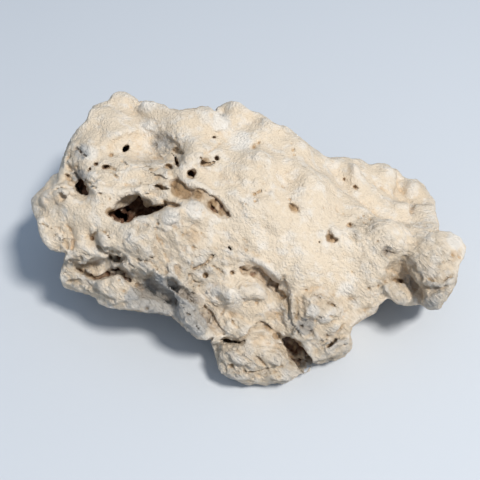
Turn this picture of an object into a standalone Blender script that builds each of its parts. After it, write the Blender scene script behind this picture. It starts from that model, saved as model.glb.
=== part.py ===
"""Holey limestone rock: one weathered, pitted lump of pale limestone, lying on its worn feet.

Frame: +Z up, origin under the middle of the rock on the surface that it rests on. The long way of the
rock runs along X and its steep, undercut face looks along -Y.

The rock is worked out as one field: a number at each point of a grid, in millimetres, that is below
zero inside the stone. Cores are merged into it, its outline is cut, lobes and ledges are laid on its
show side and hollows are sunk into it, and the skin is the surface where the field is zero.
"""

import math

import bmesh
import bpy
import numpy as np
from mathutils import noise

MM = 0.001

# ---- the field, in millimetres ----
CELL = 1.4                      # spacing of the grid
BOX_LOW = (-94, -60, -8)
BOX_HIGH = (94, 68, 76)
FAR = 1e3                       # distance where nothing has been measured yet
FEET_END = -3.5                 # the feet are made this long and then worn flat at zero
FEET_BLEND = 1

# ---- how softly shapes run into each other ----
CORE_BLEND = 9
RIM_BLEND = 4                   # rounding of the outline's cut
RIM_SPARE = 0.2                 # what that rounding takes, given back to the outline
RIM_REACH = 12                  # the outline is measured only this near the cores
HIDDEN_BLEND = 7
HIDDEN_SOFTNESS = 0.4           # blend of a hidden hollow, as a part of its radius
LOBE_SOFTNESS = 0.35
HOLLOW_SOFTNESS = 0.25
BORE_EDGE = 0.8
LAY_REACH = 8                   # a shape changes the field this far round itself

# ---- the skin ----
SKIN_CELL = 1.2                 # spacing of the even skin that closes small folds
MOST_TRIANGLES = 8600
WELD = 1e-7                     # in metres

# ---- weathering ----
NOISE_BAND = 6                  # the noise is added only this near the skin
BACK_STARTS = -5                # depth along the look where the show side turns into the back
BACK_FADE = 25
# (size of a bump, height on the show side, height at the back, where the noise starts)
GRAINS = (
    (19, 0.8, 2.6, 3.7),
    (10, 0.9, 1.5, 11.3),
    (5.5, 0.5, 0.7, 27.9),
)

# The show side is laid out on a drawing that leans back, with squares numbered from its top left
# corner. Its lines of sight meet at the eye, so a feature is carried along them on to the rock.
SQUARE = 0.39
SHEET_MIDDLE = 240
SHEET_CENTRE = np.array([0.0, 0.0, 30.0])
SHEET_LEAN = math.radians(48)
EYE_DISTANCE = 312
RIGHT = np.array([1.0, 0.0, 0.0])
UP = np.array([0.0, math.sin(SHEET_LEAN), math.cos(SHEET_LEAN)])
LOOK = np.array([0.0, math.cos(SHEET_LEAN), -math.sin(SHEET_LEAN)])
EYE = SHEET_CENTRE - LOOK * EYE_DISTANCE
FOCUS = EYE_DISTANCE / SQUARE

# A line of sight is followed from this far in front of the sheet's centre, in steps that are a part of
# the distance left to the rock, each within limits
SIGHT_START = 75
SIGHT_STEPS = 60
SIGHT_SHARE = 0.7
SIGHT_LIMITS = (-2, 8)
SLOPE_STEP = 0.8                # spacing of the points that a normal is measured from

# Outline on the drawing, clockwise from the top left, in squares
OUTLINE = [
    (93, 106), (108, 102), (121, 90), (134, 96), (140, 103), (152, 101), (167, 106), (181, 110),
    (196, 109), (208, 107), (215, 111), (220, 105), (233, 100), (241, 103), (252, 111), (263, 114),
    (275, 124), (287, 127), (302, 139), (319, 152), (331, 159), (344, 158), (360, 159), (370, 164),
    (385, 163), (397, 168), (404, 178), (418, 180), (428, 191), (435, 206), (439, 224), (450, 232),
    (461, 238), (467, 249), (460, 262), (457, 282), (445, 300), (439, 309), (426, 309), (413, 304),
    (392, 304), (385, 299), (376, 306), (362, 320), (350, 335), (351, 347), (346, 354), (335, 362),
    (325, 367), (313, 364), (309, 373), (296, 376), (284, 384), (255, 384), (237, 379), (222, 370),
    (212, 344), (214, 335), (205, 340), (196, 338), (184, 326), (164, 314), (137, 310), (111, 309),
    (90, 296), (62, 285), (60, 275), (68, 256), (52, 250), (39, 230), (31, 202), (49, 178),
    (60, 171), (64, 156), (73, 136), (89, 118),
]

# Cores: name: (centre x, y, z), (half-lengths x, y, z), corner radius, (turn about x, y, z in degrees)
CORES = {
    "west": ((-35, 23, 37), (35, 37, 26), 17, (0, 0, 0)),
    "middle": ((-4, 16, 37), (30, 38, 26), 17, (0, 3, 0)),
    "east": ((30, 10, 29), (27, 33, 22), 15, (0, 16, 0)),
    "far_east": ((59, 17, 23), (24, 24, 13), 10, (0, 14, 0)),
    "belly": ((1, -17, 26), (27, 16, 20), 10, (-38, 0, 0)),
    "brow_block": ((5, -10, 46), (23, 18, 10), 8, (-22, 0, 0)),
    "crest": ((-26, -10, 36), (24, 15, 18), 9, (-24, 0, 10)),
    "front_left": ((-54, -3, 31), (20, 15, 13), 8, (-22, 0, 0)),
    "low_ledge": ((-52, -8, 23), (17, 9, 9), 6, (-10, 0, 0)),
    "slope": ((38, -12, 24), (20, 21, 20), 12, (-26, 10, 0)),
    "arm_root": ((62, -4, 28), (18, 14, 10), 8, (0, 0, 0)),
    "arm": ((77, -15, 27), (14, 15, 14), 9, (0, 0, 0)),
    "wing": ((-70, 6, 33), (17, 20, 13), 9, (6, 0, 0)),
    "foot": ((9, -36, 9), (21, 14, 11), 11, (0, 0, 0)),
    "right_foot": ((35, -30, 16), (12, 11, 14), 9, (0, 0, 0)),
    "back_left_foot": ((-46, 31, 13), (23, 18, 15), 15, (0, 10, 0)),
    "back_right_foot": ((43, 20, 12), (24, 17, 14), 14, (0, -8, 0)),
}

# Lobes laid on the show side: name: ((across, down) ...), radius, how far it stands proud
LOBES = {
    "peak": (((121, 103),), 7, 3),
    "shoulder": (((104, 120),), 12, 3),
    "shoulder_low": (((122, 138),), 9, 2),
    "shoulder_edge": (((84, 150),), 9, 2.5),
    "back_rim_left": (((150, 113), (166, 119)), 5, 2.5),
    "back_rim_white": (((184, 124), (210, 121)), 6, 3),
    "back_rim_bright": (((222, 127),), 5, 2.5),
    "back_rim_middle": (((237, 112),), 7, 3),
    "bowl_bank": (((196, 148), (206, 152)), 6, 2),
    "middle_dome": (((256, 165),), 9, 4),
    "dome_above": (((250, 137),), 8, 2),
    "rim_right_a": (((268, 128),), 6, 2.5),
    "rim_right_b": (((298, 148),), 7, 2.5),
    "right_bulge": (((313, 186),), 14, 4.5),
    "right_bulge_low": (((302, 228),), 9, 2),
    "popcorn_1": (((352, 172),), 5, 2.5),
    "popcorn_2": (((385, 177),), 6, 3.5),
    "popcorn_3": (((411, 190),), 5.5, 3),
    "popcorn_4": (((424, 211),), 6, 3),
    "popcorn_5": (((401, 208),), 5.5, 3),
    "right_plateau": (((362, 216),), 7, 2),
    "right_plateau_edge": (((385, 236),), 7, 2),
    "arm_top": (((440, 250),), 8, 2.5),
    "arm_end": (((455, 264),), 6, 1.5),
    "arm_foot": (((434, 296),), 6, 2.5),
    "wing_ridge": (((42, 205), (64, 193)), 5, 2.5),
    "wing_low": (((50, 236),), 6, 2),
    "left_front_lobe": (((78, 256),), 7, 3),
    "left_front_lobe_b": (((93, 240),), 6, 2),
    "low_front_ledge": (((92, 284), (112, 288)), 7, 2.5),
    "crest_white": (((174, 213),), 5, 3),
    "crest_dome": (((197, 211),), 6, 4),
    "crest_middle": (((184, 240),), 9, 3.5),
    "crest_left": (((140, 236),), 8, 2.5),
    "crest_low": (((152, 256),), 5, 2.5),
    "brow": (((205, 250), (236, 254), (262, 260), (280, 276)), 6, 3),
    "spur": (((160, 266), (182, 294), (203, 328)), 5, 4),
    "belly_lobe": (((236, 288), (262, 290)), 9, 3),
    "right_ridge": (((288, 298), (298, 325), (312, 350)), 5, 3.5),
    "right_column": (((330, 318),), 8, 2.5),
    "foot_lobe": (((243, 356),), 9, 3),
    "foot_lobe_right": (((276, 368),), 7, 2),
}

# Hollows sunk into the show side: name: ((across, down) ...), radius, depth
HOLLOWS = {
    "plateau_bowl": (((150, 143), (170, 153)), 9, 3.5),
    "rim_saddle": (((141, 106),), 4, 2.5),
    "rim_saddle_b": (((216, 113),), 4, 2),
    "ledge_step": (((94, 175), (112, 178), (140, 179), (168, 177)), 5, 3),
    "wing_valley": (((66, 173), (84, 196)), 4, 4),
    "cave_ledge": (((150, 197), (184, 196)), 4, 2.5),
    "diagonal_crevice": (((184, 189), (207, 197), (229, 214)), 3, 3),
    "middle_valley": (((212, 176), (232, 205), (250, 226)), 7, 2.5),
    "dome_crease": (((238, 182), (248, 192), (268, 193)), 4, 1.8),
    "right_valley": (((286, 176), (284, 200), (325, 238)), 5, 3),
    "dish": (((343, 250), (343, 285)), 13, 3),
    "front_slope": (((222, 240), (262, 243), (303, 236)), 26, 8),
    "right_crease": (((338, 168), (350, 190), (372, 202), (395, 226)), 4, 2.5),
    "popcorn_crease": (((398, 178), (401, 196)), 3.5, 1.8),
    "arm_hollow": (((398, 270), (410, 284)), 7, 5),
    "arm_saddle": (((418, 240),), 6, 2),
    "under_brow": (((240, 272), (262, 276), (279, 292)), 4, 4),
    "belly_crease": (((246, 302), (264, 304)), 4, 1.5),
    "spur_shade": (((140, 285), (166, 300)), 6, 5),
    "front_left_undercut": (((78, 268), (100, 267), (122, 270)), 3.5, 4),
    "front_left_groove": (((90, 236), (112, 254)), 4, 2),
    "foot_neck": (((214, 341), (242, 342)), 4, 2),
    "foot_gap": (((292, 345), (300, 360)), 4, 7),
}

# Bores that run deep into the show side: name: ((across, down, depth, radius) ...)
BORES = {
    "cave_mouth": ((113, 211, 0, 2.2), (124, 211, 2, 3.6), (138, 207, 3, 4.2), (152, 206, 2, 3.0), (166, 207, 1, 2.0)),
    "cave_pocket": ((124, 209, 5, 4.2), (136, 204, 11, 5.2), (148, 203, 8, 4.0)),
    "eye": ((81, 184, 1, 2.2), (83, 192, 6, 2.4)),
    "round_hole": ((192, 174, 0, 1.7), (193, 173, 5, 1.5)),
}

# Lobes and hollows of the back and the underside: name: ((x, y, z) ...), radius
HIDDEN_LOBES = {
    "back_knob_left": (((-50, 50, 30), (-44, 52, 20)), 11),
    "back_knob_middle": (((-8, 50, 34),), 13),
    "back_knob_low": (((-20, 44, 16),), 12),
    "back_knob_right": (((30, 38, 26), (38, 36, 16)), 10),
    "far_right_knob": (((66, 30, 20),), 8),
    "left_knob": (((-73, 30, 24),), 9),
    "under_arm_knob": (((68, 2, 16),), 8),
}
HIDDEN_HOLLOWS = {
    "back_pocket": (((-28, 66, 38),), 13),
    "back_pocket_low": (((8, 58, 20), (14, 50, 12)), 10),
    "back_pocket_right": (((50, 47, 24),), 9),
    "back_left_pocket": (((-80, 46, 38), (-72, 54, 24)), 9),
    "back_bore": (((-30, 60, 30), (-26, 40, 32)), 3.5),
    "back_bore_right": (((16, 54, 36), (12, 38, 32)), 3),
    "right_end_pocket": (((88, 10, 22),), 8),
    "under_west": (((-62, 10, 2), (-30, 8, -6)), 14),
    "under_middle": (((-8, 8, -8), (24, 4, -8)), 18),
    "under_east": (((60, -4, 4),), 11),
    "under_front": (((-30, -20, 0),), 10),
}


def turned(points, turn):
    """The points in a frame turned about x, y and z by the angles in degrees."""
    a, b, c = [math.radians(t) for t in turn]
    rx = np.array([[1, 0, 0], [0, math.cos(a), -math.sin(a)], [0, math.sin(a), math.cos(a)]])
    ry = np.array([[math.cos(b), 0, math.sin(b)], [0, 1, 0], [-math.sin(b), 0, math.cos(b)]])
    rz = np.array([[math.cos(c), -math.sin(c), 0], [math.sin(c), math.cos(c), 0], [0, 0, 1]])
    return points @ (rz @ ry @ rx)


def block(points, centre, half_lengths, corner, turn):
    """Distance from a block with rounded corners."""
    q = np.abs(turned(points - np.array(centre, float), turn)) - (np.array(half_lengths, float) - corner)
    outside = np.linalg.norm(np.maximum(q, 0), axis=-1)
    return outside + np.minimum(q.max(axis=-1), 0) - corner


def merged(a, b, blend):
    """The lower of two fields, run together softly."""
    share = np.clip(0.5 + 0.5 * (b - a) / blend, 0, 1)
    return b + (a - b) * share - blend * share * (1 - share)


def cut(a, b, blend):
    """Field a with the part where b is above zero taken off."""
    return -merged(-a, -b, blend)


def on_sheet(points):
    """Where points stand on the drawing: across, down and their distance along the look."""
    ray = points - EYE
    away = ray @ LOOK
    return SHEET_MIDDLE + FOCUS * (ray @ RIGHT) / away, SHEET_MIDDLE - FOCUS * (ray @ UP) / away, away


def outline_distance(points):
    """Distance outside the outline's tapering cut, in millimetres; below zero within it."""
    across, down, away = on_sheet(points)
    spot = np.stack([across, down], axis=-1)
    corners = np.array(OUTLINE, float)
    nearest = np.full(len(spot), FAR)
    inside = np.zeros(len(spot), bool)
    for start, end in zip(corners, np.roll(corners, -1, axis=0)):
        edge = end - start
        along = np.clip((spot - start) @ edge / (edge @ edge), 0, 1)
        nearest = np.minimum(nearest, np.linalg.norm(spot - start - along[:, None] * edge, axis=1))
        if start[1] != end[1]:
            crosses = (start[1] > spot[:, 1]) != (end[1] > spot[:, 1])
            inside ^= crosses & (spot[:, 0] < start[0] + (spot[:, 1] - start[1]) * edge[0] / edge[1])
    return np.where(inside, -nearest, nearest) * away * SQUARE / EYE_DISTANCE


def body(points):
    """The rock before its relief: the cores run together and cut to the outline."""
    field = np.full(len(points), FAR)
    for core in CORES.values():
        field = merged(field, block(points, *core), CORE_BLEND)
    near = field < RIM_REACH
    trimmed = field.copy()
    trimmed[near] = cut(field[near], outline_distance(points[near]) - RIM_SPARE, RIM_BLEND)
    return trimmed


def skin_points(spots):
    """The points of the body's skin under (across, down) spots, its normals and the lines of sight."""
    spots = np.array(spots, float)
    rays = LOOK + np.outer((spots[:, 0] - SHEET_MIDDLE) / FOCUS, RIGHT)
    rays = rays - np.outer((spots[:, 1] - SHEET_MIDDLE) / FOCUS, UP)
    rays /= np.linalg.norm(rays, axis=1)[:, None]
    at = EYE + rays * (EYE_DISTANCE - SIGHT_START)
    for _ in range(SIGHT_STEPS):
        at = at + rays * (SIGHT_SHARE * np.clip(body(at), *SIGHT_LIMITS))[:, None]
    slope = [body(at + SLOPE_STEP * axis) - body(at - SLOPE_STEP * axis) for axis in np.eye(3)]
    normals = np.stack(slope, axis=-1)
    return at, normals / np.linalg.norm(normals, axis=1)[:, None], rays


def chain(points, stops, radii):
    """Distance from a run of balls joined end to end."""
    if len(stops) == 1:
        return np.linalg.norm(points - stops[0], axis=-1) - radii[0]
    nearest = np.full(points.shape[:-1], FAR)
    for start, end, r0, r1 in zip(stops, stops[1:], radii, radii[1:]):
        run = end - start
        along = np.clip((points - start) @ run / (run @ run), 0, 1)
        gap = np.linalg.norm(points - start - along[..., None] * run, axis=-1)
        nearest = np.minimum(nearest, gap - r0 - (r1 - r0) * along)
    return nearest


def near_box(stops, reach, low, shape):
    """Slices of the grid that lie within reach of the stops."""
    first = np.floor((np.min(stops, axis=0) - reach - low) / CELL).astype(int)
    last = np.ceil((np.max(stops, axis=0) + reach - low) / CELL).astype(int) + 1
    return tuple(slice(max(a, 0), min(b, n)) for a, b, n in zip(first, last, shape))


def net(field, low):
    """The skin of the field as corners and four-sided faces: one corner in each cell that it crosses."""
    shape = np.array(field.shape) - 1
    offsets = [np.array([i, j, k]) for i in (0, 1) for j in (0, 1) for k in (0, 1)]
    corner = [field[o[0]:o[0] + shape[0], o[1]:o[1] + shape[1], o[2]:o[2] + shape[2]] for o in offsets]
    count = sum((c < 0).astype(int) for c in corner)
    crossed = (count > 0) & (count < 8)
    index = -np.ones(shape, int)
    index[crossed] = np.arange(crossed.sum())
    total = np.zeros((crossed.sum(), 3))
    hits = np.zeros(crossed.sum())
    for i, a in enumerate(offsets):
        for j, b in enumerate(offsets):
            if j <= i or np.abs(a - b).sum() != 1:
                continue
            fa, fb = corner[i][crossed], corner[j][crossed]
            split = (fa < 0) != (fb < 0)
            along = np.where(split, fa / np.where(split, fa - fb, 1), 0)
            total += np.where(split[:, None], a + along[:, None] * (b - a), 0)
            hits += split
    corners = np.array(low) + CELL * (np.argwhere(crossed) + total / hits[:, None])
    faces = []
    for axis in range(3):
        others = [n for n in range(3) if n != axis]
        here = [slice(1, n) for n in shape]
        ahead = list(here)
        here[axis], ahead[axis] = slice(0, shape[axis]), slice(1, shape[axis] + 1)
        inner, outer = field[tuple(here)] < 0, field[tuple(ahead)] < 0
        spots = np.argwhere(inner != outer)
        start = spots.copy()
        for other in others:
            start[:, other] += 1
        flip = inner[tuple(spots.T)]
        if axis == 1:
            flip = ~flip
        ring = []
        for da, db in ((1, 1), (0, 1), (0, 0), (1, 0)):
            cell = start.copy()
            cell[:, others[0]] -= da
            cell[:, others[1]] -= db
            ring.append(index[tuple(cell.T)])
        quads = np.stack(ring, axis=-1)
        quads[~flip] = quads[~flip][:, ::-1]
        faces.append(quads)
    return corners, np.concatenate(faces)


def relief_noise(points):
    """Rise and fall of the weathered skin: gentle on the show side, coarser behind and below."""
    back = np.clip(((points - SHEET_CENTRE) @ LOOK - BACK_STARTS) / BACK_FADE, 0, 1)
    rise = np.zeros(len(points))
    for grain, show_height, back_height, seed in GRAINS:
        spots = points / grain + seed
        wave = np.array([noise.noise(spot) for spot in spots.tolist()])
        rise += wave * (show_height + (back_height - show_height) * back)
    return rise


def rock_field():
    """The field of the whole rock and the lowest corner of its grid."""
    low, high = np.array(BOX_LOW, float), np.array(BOX_HIGH, float)
    axes = [np.arange(a, b, CELL) for a, b in zip(low, high)]
    grid = np.stack(np.meshgrid(*axes, indexing="ij"), axis=-1)
    shape = grid.shape[:3]
    field = body(grid.reshape(-1, 3)).reshape(shape)

    def lay(stops, radii, sign, blend):
        box = near_box(stops, max(radii) + LAY_REACH, low, shape)
        run = chain(grid[box], stops, radii)
        field[box] = merged(field[box], run, blend) if sign > 0 else cut(field[box], -run, blend)

    for spots, radius in HIDDEN_LOBES.values():
        lay(np.array(spots, float), [radius] * len(spots), 1, HIDDEN_BLEND)
    for spots, radius in HIDDEN_HOLLOWS.values():
        lay(np.array(spots, float), [radius] * len(spots), -1, HIDDEN_SOFTNESS * radius)
    for table, sign, softness in ((LOBES, 1, LOBE_SOFTNESS), (HOLLOWS, -1, HOLLOW_SOFTNESS)):
        for spots, radius, height in table.values():
            at, normal, _ = skin_points(spots)
            lay(at + normal * sign * (height - radius), [radius] * len(spots), sign, softness * radius)
    field = cut(field, FEET_END - grid[..., 2], FEET_BLEND)
    near = np.abs(field) < NOISE_BAND
    field[near] += relief_noise(grid[near])
    for stops in BORES.values():
        at, _, rays = skin_points([stop[:2] for stop in stops])
        middles = at + rays * np.array([stop[2] for stop in stops])[:, None]
        lay(middles, [stop[3] for stop in stops], -1, BORE_EDGE)
    return field, low


def clear_scene():
    for old in list(bpy.data.objects):
        bpy.data.objects.remove(old, do_unlink=True)


def limestone():
    stone = bpy.data.materials.new("pale limestone")
    stone.use_nodes = True
    shader = stone.node_tree.nodes["Principled BSDF"]
    shader.inputs["Base Color"].default_value = (0.76, 0.69, 0.56, 1)
    shader.inputs["Roughness"].default_value = 0.9
    return stone


def evaluated(rock):
    graph = bpy.context.evaluated_depsgraph_get()
    graph.update()
    return bpy.data.meshes.new_from_object(rock.evaluated_get(graph))


def thinned(rock):
    """The rock's mesh with one even skin, brought down to the triangles that it needs."""
    skin = rock.modifiers.new("one skin", "REMESH")
    skin.mode = "VOXEL"
    skin.voxel_size = SKIN_CELL * MM
    rock.data = evaluated(rock)
    rock.modifiers.clear()
    thin = rock.modifiers.new("thin", "DECIMATE")
    thin.ratio = MOST_TRIANGLES / sum(len(p.vertices) - 2 for p in rock.data.polygons)
    mesh = evaluated(rock)
    rock.modifiers.clear()
    return mesh


def seated(mesh):
    """The mesh worn flat where it rests, with its origin under the middle."""
    rock = bmesh.new()
    rock.from_mesh(mesh)
    everything = rock.verts[:] + rock.edges[:] + rock.faces[:]
    worn = bmesh.ops.bisect_plane(rock, geom=everything, dist=WELD, plane_co=(0, 0, 0),
                                  plane_no=(0, 0, -1), clear_outer=True)
    rim = [e for e in worn["geom_cut"] if isinstance(e, bmesh.types.BMEdge)]
    bmesh.ops.holes_fill(rock, edges=rim, sides=0)
    bmesh.ops.triangulate(rock, faces=rock.faces[:])
    bmesh.ops.recalc_face_normals(rock, faces=rock.faces[:])
    for axis in (0, 1):
        ends = [v.co[axis] for v in rock.verts]
        middle = (min(ends) + max(ends)) / 2
        for v in rock.verts:
            v.co[axis] -= middle
        print("moved to the middle by", -middle)
    rock.to_mesh(mesh)
    rock.free()


def build():
    clear_scene()
    field, low = rock_field()
    corners, faces = net(field, low)
    mesh = bpy.data.meshes.new("holey_rock")
    mesh.from_pydata((corners * MM).tolist(), [], faces.tolist())
    rock = bpy.data.objects.new("holey_rock", mesh)
    bpy.context.scene.collection.objects.link(rock)
    rock.data = thinned(rock)
    seated(rock.data)
    rock.data.materials.append(limestone())


build()
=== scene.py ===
# %% [markdown]
# # A holey limestone rock
# One lump of pale limestone, about a hand's length. Water has eaten pores, a cave and crevices into it,
# its top is chalky and smooth, and its front is steep, flaky and undercut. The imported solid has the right
# form, size and feet, but its skin is made of flat facets. This lesson keeps the form and makes the skin:
# first the view and the light, then the stone as a field that tools can carve, then its colours.

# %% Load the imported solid
import math
import random

import bpy
import numpy as np
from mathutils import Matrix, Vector, noise
from mathutils.bvhtree import BVHTree


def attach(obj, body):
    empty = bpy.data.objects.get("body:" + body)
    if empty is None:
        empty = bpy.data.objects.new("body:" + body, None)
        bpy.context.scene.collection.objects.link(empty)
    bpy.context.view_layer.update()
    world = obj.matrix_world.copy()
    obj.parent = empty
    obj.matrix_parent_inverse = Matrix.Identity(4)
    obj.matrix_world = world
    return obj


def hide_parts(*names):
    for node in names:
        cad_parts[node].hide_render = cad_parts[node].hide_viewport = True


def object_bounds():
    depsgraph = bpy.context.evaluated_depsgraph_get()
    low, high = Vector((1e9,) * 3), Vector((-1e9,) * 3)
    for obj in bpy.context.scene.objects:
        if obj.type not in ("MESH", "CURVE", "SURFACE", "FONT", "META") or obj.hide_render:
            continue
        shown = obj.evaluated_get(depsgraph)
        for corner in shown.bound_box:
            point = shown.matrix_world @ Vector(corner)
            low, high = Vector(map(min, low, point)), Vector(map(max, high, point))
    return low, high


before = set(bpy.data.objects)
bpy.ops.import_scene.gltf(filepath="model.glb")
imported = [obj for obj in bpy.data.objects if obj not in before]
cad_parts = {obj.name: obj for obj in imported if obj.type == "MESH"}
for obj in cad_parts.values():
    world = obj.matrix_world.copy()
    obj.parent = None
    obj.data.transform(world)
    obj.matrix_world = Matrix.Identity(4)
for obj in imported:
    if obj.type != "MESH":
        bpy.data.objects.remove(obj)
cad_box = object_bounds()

MM = 0.001
FAR = 1e9
TINY = 1e-9

cad_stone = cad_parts["holey_rock"]
print("packed solid:", len(cad_stone.data.polygons), "faces")

# %% [markdown]
# ## The view
# The rock is looked at from the front and well above, from close by, with a slightly long lens. The
# camera is built first, because the marks on the stone are then placed the way a carver would place them:
# by looking at the stone and touching the spot. A spot is a pair of squares, across and down, on a
# picture of 480 by 480 squares.

# %% Camera
PICTURE_SQUARES = 480
LENS_MM = 60
SENSOR_MM = 36
CAMERA_HEIGHT_ANGLE = math.radians(48)
CAMERA_DISTANCE = 312
LOOK_AT = np.array([-1.15, -6.1, 30.0])

RIGHT = np.array([1.0, 0.0, 0.0])
UP = np.array([0.0, math.sin(CAMERA_HEIGHT_ANGLE), math.cos(CAMERA_HEIGHT_ANGLE)])
LOOK = np.array([0.0, math.cos(CAMERA_HEIGHT_ANGLE), -math.sin(CAMERA_HEIGHT_ANGLE)])
EYE = LOOK_AT - LOOK * CAMERA_DISTANCE
FOCUS_SQUARES = PICTURE_SQUARES * LENS_MM / SENSOR_MM

camera_data = bpy.data.cameras.new("view")
camera_data.lens = LENS_MM
camera_data.sensor_width = SENSOR_MM
camera = bpy.data.objects.new("view", camera_data)
camera.location = Vector(EYE * MM)
camera.rotation_euler = Vector(LOOK).to_track_quat("-Z", "Y").to_euler()
bpy.context.scene.collection.objects.link(camera)
bpy.context.scene.camera = camera
print("camera at", [round(v, 3) for v in camera.location])

# %% [markdown]
# ## The stage
# A pale floor, one soft lamp high up on the right, a little to the front, and a weak, cool sky. The lamp
# is warm and broad enough to give the shadow a soft edge, and the cool sky fills what it doesn't reach.

# %% Floor
FLOOR_HALF = 3.0
FLOOR_COLOUR = (0.60, 0.63, 0.67)
FLOOR_ROUGHNESS = 0.9

floor_material = bpy.data.materials.new("pale floor")
floor_material.use_nodes = True
floor_shader = floor_material.node_tree.nodes["Principled BSDF"]
floor_shader.inputs["Base Color"].default_value = (*FLOOR_COLOUR, 1)
floor_shader.inputs["Roughness"].default_value = FLOOR_ROUGHNESS

floor_mesh = bpy.data.meshes.new("floor")
floor_corners = [(-1, -1, 0), (1, -1, 0), (1, 1, 0), (-1, 1, 0)]
floor_mesh.from_pydata([Vector(c) * FLOOR_HALF for c in floor_corners], [], [(0, 1, 2, 3)])
floor_mesh.materials.append(floor_material)
floor = bpy.data.objects.new("floor", floor_mesh)
bpy.context.scene.collection.objects.link(floor)
print("floor:", 2 * FLOOR_HALF, "m wide")

# %% Lamp and sky
LAMP_DIRECTION = Vector((0.42, -0.42, 1.0)).normalized()
LAMP_DISTANCE = 1.4
LAMP_SIZE = 0.24
LAMP_WATTS = 18.9
LAMP_COLOUR = (1.0, 0.965, 0.91)
SKY_COLOUR = (0.62, 0.78, 1.0)
SKY_STRENGTH = 0.44

lamp_data = bpy.data.lights.new("soft lamp", "AREA")
lamp_data.shape = "DISK"
lamp_data.size = LAMP_SIZE
lamp_data.energy = LAMP_WATTS
lamp_data.color = LAMP_COLOUR
lamp = bpy.data.objects.new("soft lamp", lamp_data)
lamp.location = LAMP_DIRECTION * LAMP_DISTANCE
lamp.rotation_euler = LAMP_DIRECTION.to_track_quat("Z", "Y").to_euler()
bpy.context.scene.collection.objects.link(lamp)

sky = bpy.data.worlds.new("cool sky")
sky.use_nodes = True
sky.node_tree.nodes["Background"].inputs["Color"].default_value = (*SKY_COLOUR, 1)
sky.node_tree.nodes["Background"].inputs["Strength"].default_value = SKY_STRENGTH
bpy.context.scene.world = sky
bpy.context.scene.view_settings.view_transform = "Standard"
print("lamp:", LAMP_WATTS, "W, sky strength", SKY_STRENGTH)

# %% [markdown]
# ## The stone as a field
# A mesh is awkward to drill and gouge. A field isn't: it is a block of numbers, one at each point of a
# fine grid, and each number is the distance to the stone's skin, below zero inside. Two shapes are joined
# by taking the lower of their distances and one is cut from another by taking the higher, so pores may
# overlap, run into each other and undercut as they like. The skin is found again at the end.

# %% Grid round the stone
GRID = 1.2
SPARE = 6.0
BAND = 4.8
GRID_SHIFT = 0.013

mesh = cad_stone.data
points_mm = [v.co / MM for v in mesh.vertices]
solid = BVHTree.FromPolygons(points_mm, [tuple(p.vertices) for p in mesh.polygons])
box_low = np.min(points_mm, axis=0) - SPARE + GRID_SHIFT
box_high = np.max(points_mm, axis=0) + SPARE
axes = [np.arange(a, b, GRID) for a, b in zip(box_low, box_high)]
shape = tuple(len(a) for a in axes)
print("coarse grid:", shape)

# %% Which grid points are inside
DOWN = Vector((0, 0, -1))
PAST_SKIN = 0.002


def crossings(x, y):
    """Heights at which a vertical line passes through the solid's skin, lowest first."""
    found = []
    start = Vector((x, y, box_high[2]))
    hit = solid.ray_cast(start, DOWN)[0]
    while hit is not None:
        found.append(hit.z)
        hit = solid.ray_cast(hit + DOWN * PAST_SKIN, DOWN)[0]
    return found[::-1]


inside = np.zeros(shape, bool)
for i, x in enumerate(axes[0]):
    for j, y in enumerate(axes[1]):
        inside[i, j] = np.searchsorted(crossings(x, y), axes[2]) % 2 == 1
print("inside:", round(inside.mean(), 3), "of the block")

# %% Distance to the skin
NEAR_STEPS = 4


def spread(marks, steps):
    """Marks widened by a number of grid steps along each axis."""
    for axis in range(3):
        for _ in range(steps):
            wide = marks.copy()
            ahead = [slice(None)] * 3
            back = [slice(None)] * 3
            ahead[axis] = slice(1, None)
            back[axis] = slice(None, -1)
            wide[tuple(ahead)] |= marks[tuple(back)]
            wide[tuple(back)] |= marks[tuple(ahead)]
            marks = wide
    return marks


near = spread(inside, NEAR_STEPS) & spread(~inside, NEAR_STEPS)
coarse = np.where(inside, -BAND, BAND).astype(np.float32)
for i, j, k in np.argwhere(near).tolist():
    gap = solid.find_nearest(Vector((axes[0][i], axes[1][j], axes[2][k])))[3]
    coarse[i, j, k] = -gap if inside[i, j, k] else gap
np.clip(coarse, -BAND, BAND, out=coarse)
print("measured", int(near.sum()), "distances")

# %% Round the facets off and halve the grid step
FACET_ROUNDS = 2
STEP = GRID / 2


def blurred(values, rounds):
    """A field with each value shared with its neighbours, which rounds edges off."""
    for _ in range(rounds):
        for axis in range(3):
            ahead = np.roll(values, 1, axis)
            back = np.roll(values, -1, axis)
            values = 0.5 * values + 0.25 * (ahead + back)
    return values


def halved(values):
    """A field on a grid of half the step, with the values between filled in."""
    for axis in range(3):
        values = np.moveaxis(values, axis, 0)
        fine = np.empty((2 * values.shape[0] - 1, *values.shape[1:]), np.float32)
        fine[::2] = values
        fine[1::2] = (values[1:] + values[:-1]) / 2
        values = np.moveaxis(fine, 0, axis)
    return values


field = halved(blurred(coarse, FACET_ROUNDS))
axis_lines = [box_low[n] + STEP * np.arange(field.shape[n]) for n in range(3)]
print("fine grid:", field.shape)

# %% Reading the field
LAST_CELL = 1.001


def reading(values, spots):
    """Values of a field at points in millimetres, blended from the eight grid points around each."""
    at = (spots - box_low) / STEP
    at = np.clip(at, 0, np.array(values.shape) - LAST_CELL)
    base = np.floor(at).astype(int)
    part = at - base
    total = np.zeros(len(spots))
    for corner in np.ndindex(2, 2, 2):
        share = np.prod(np.where(corner, part, 1 - part), axis=1)
        total += share * values[tuple((base + corner).T)]
    return total


def slopes(values, spots):
    """Outward directions of the skin at points, as unit vectors."""
    ways = [reading(values, spots + STEP * axis) - reading(values, spots - STEP * axis) for axis in np.eye(3)]
    ways = np.stack(ways, axis=-1)
    return ways / np.maximum(np.linalg.norm(ways, axis=1), TINY)[:, None]


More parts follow.
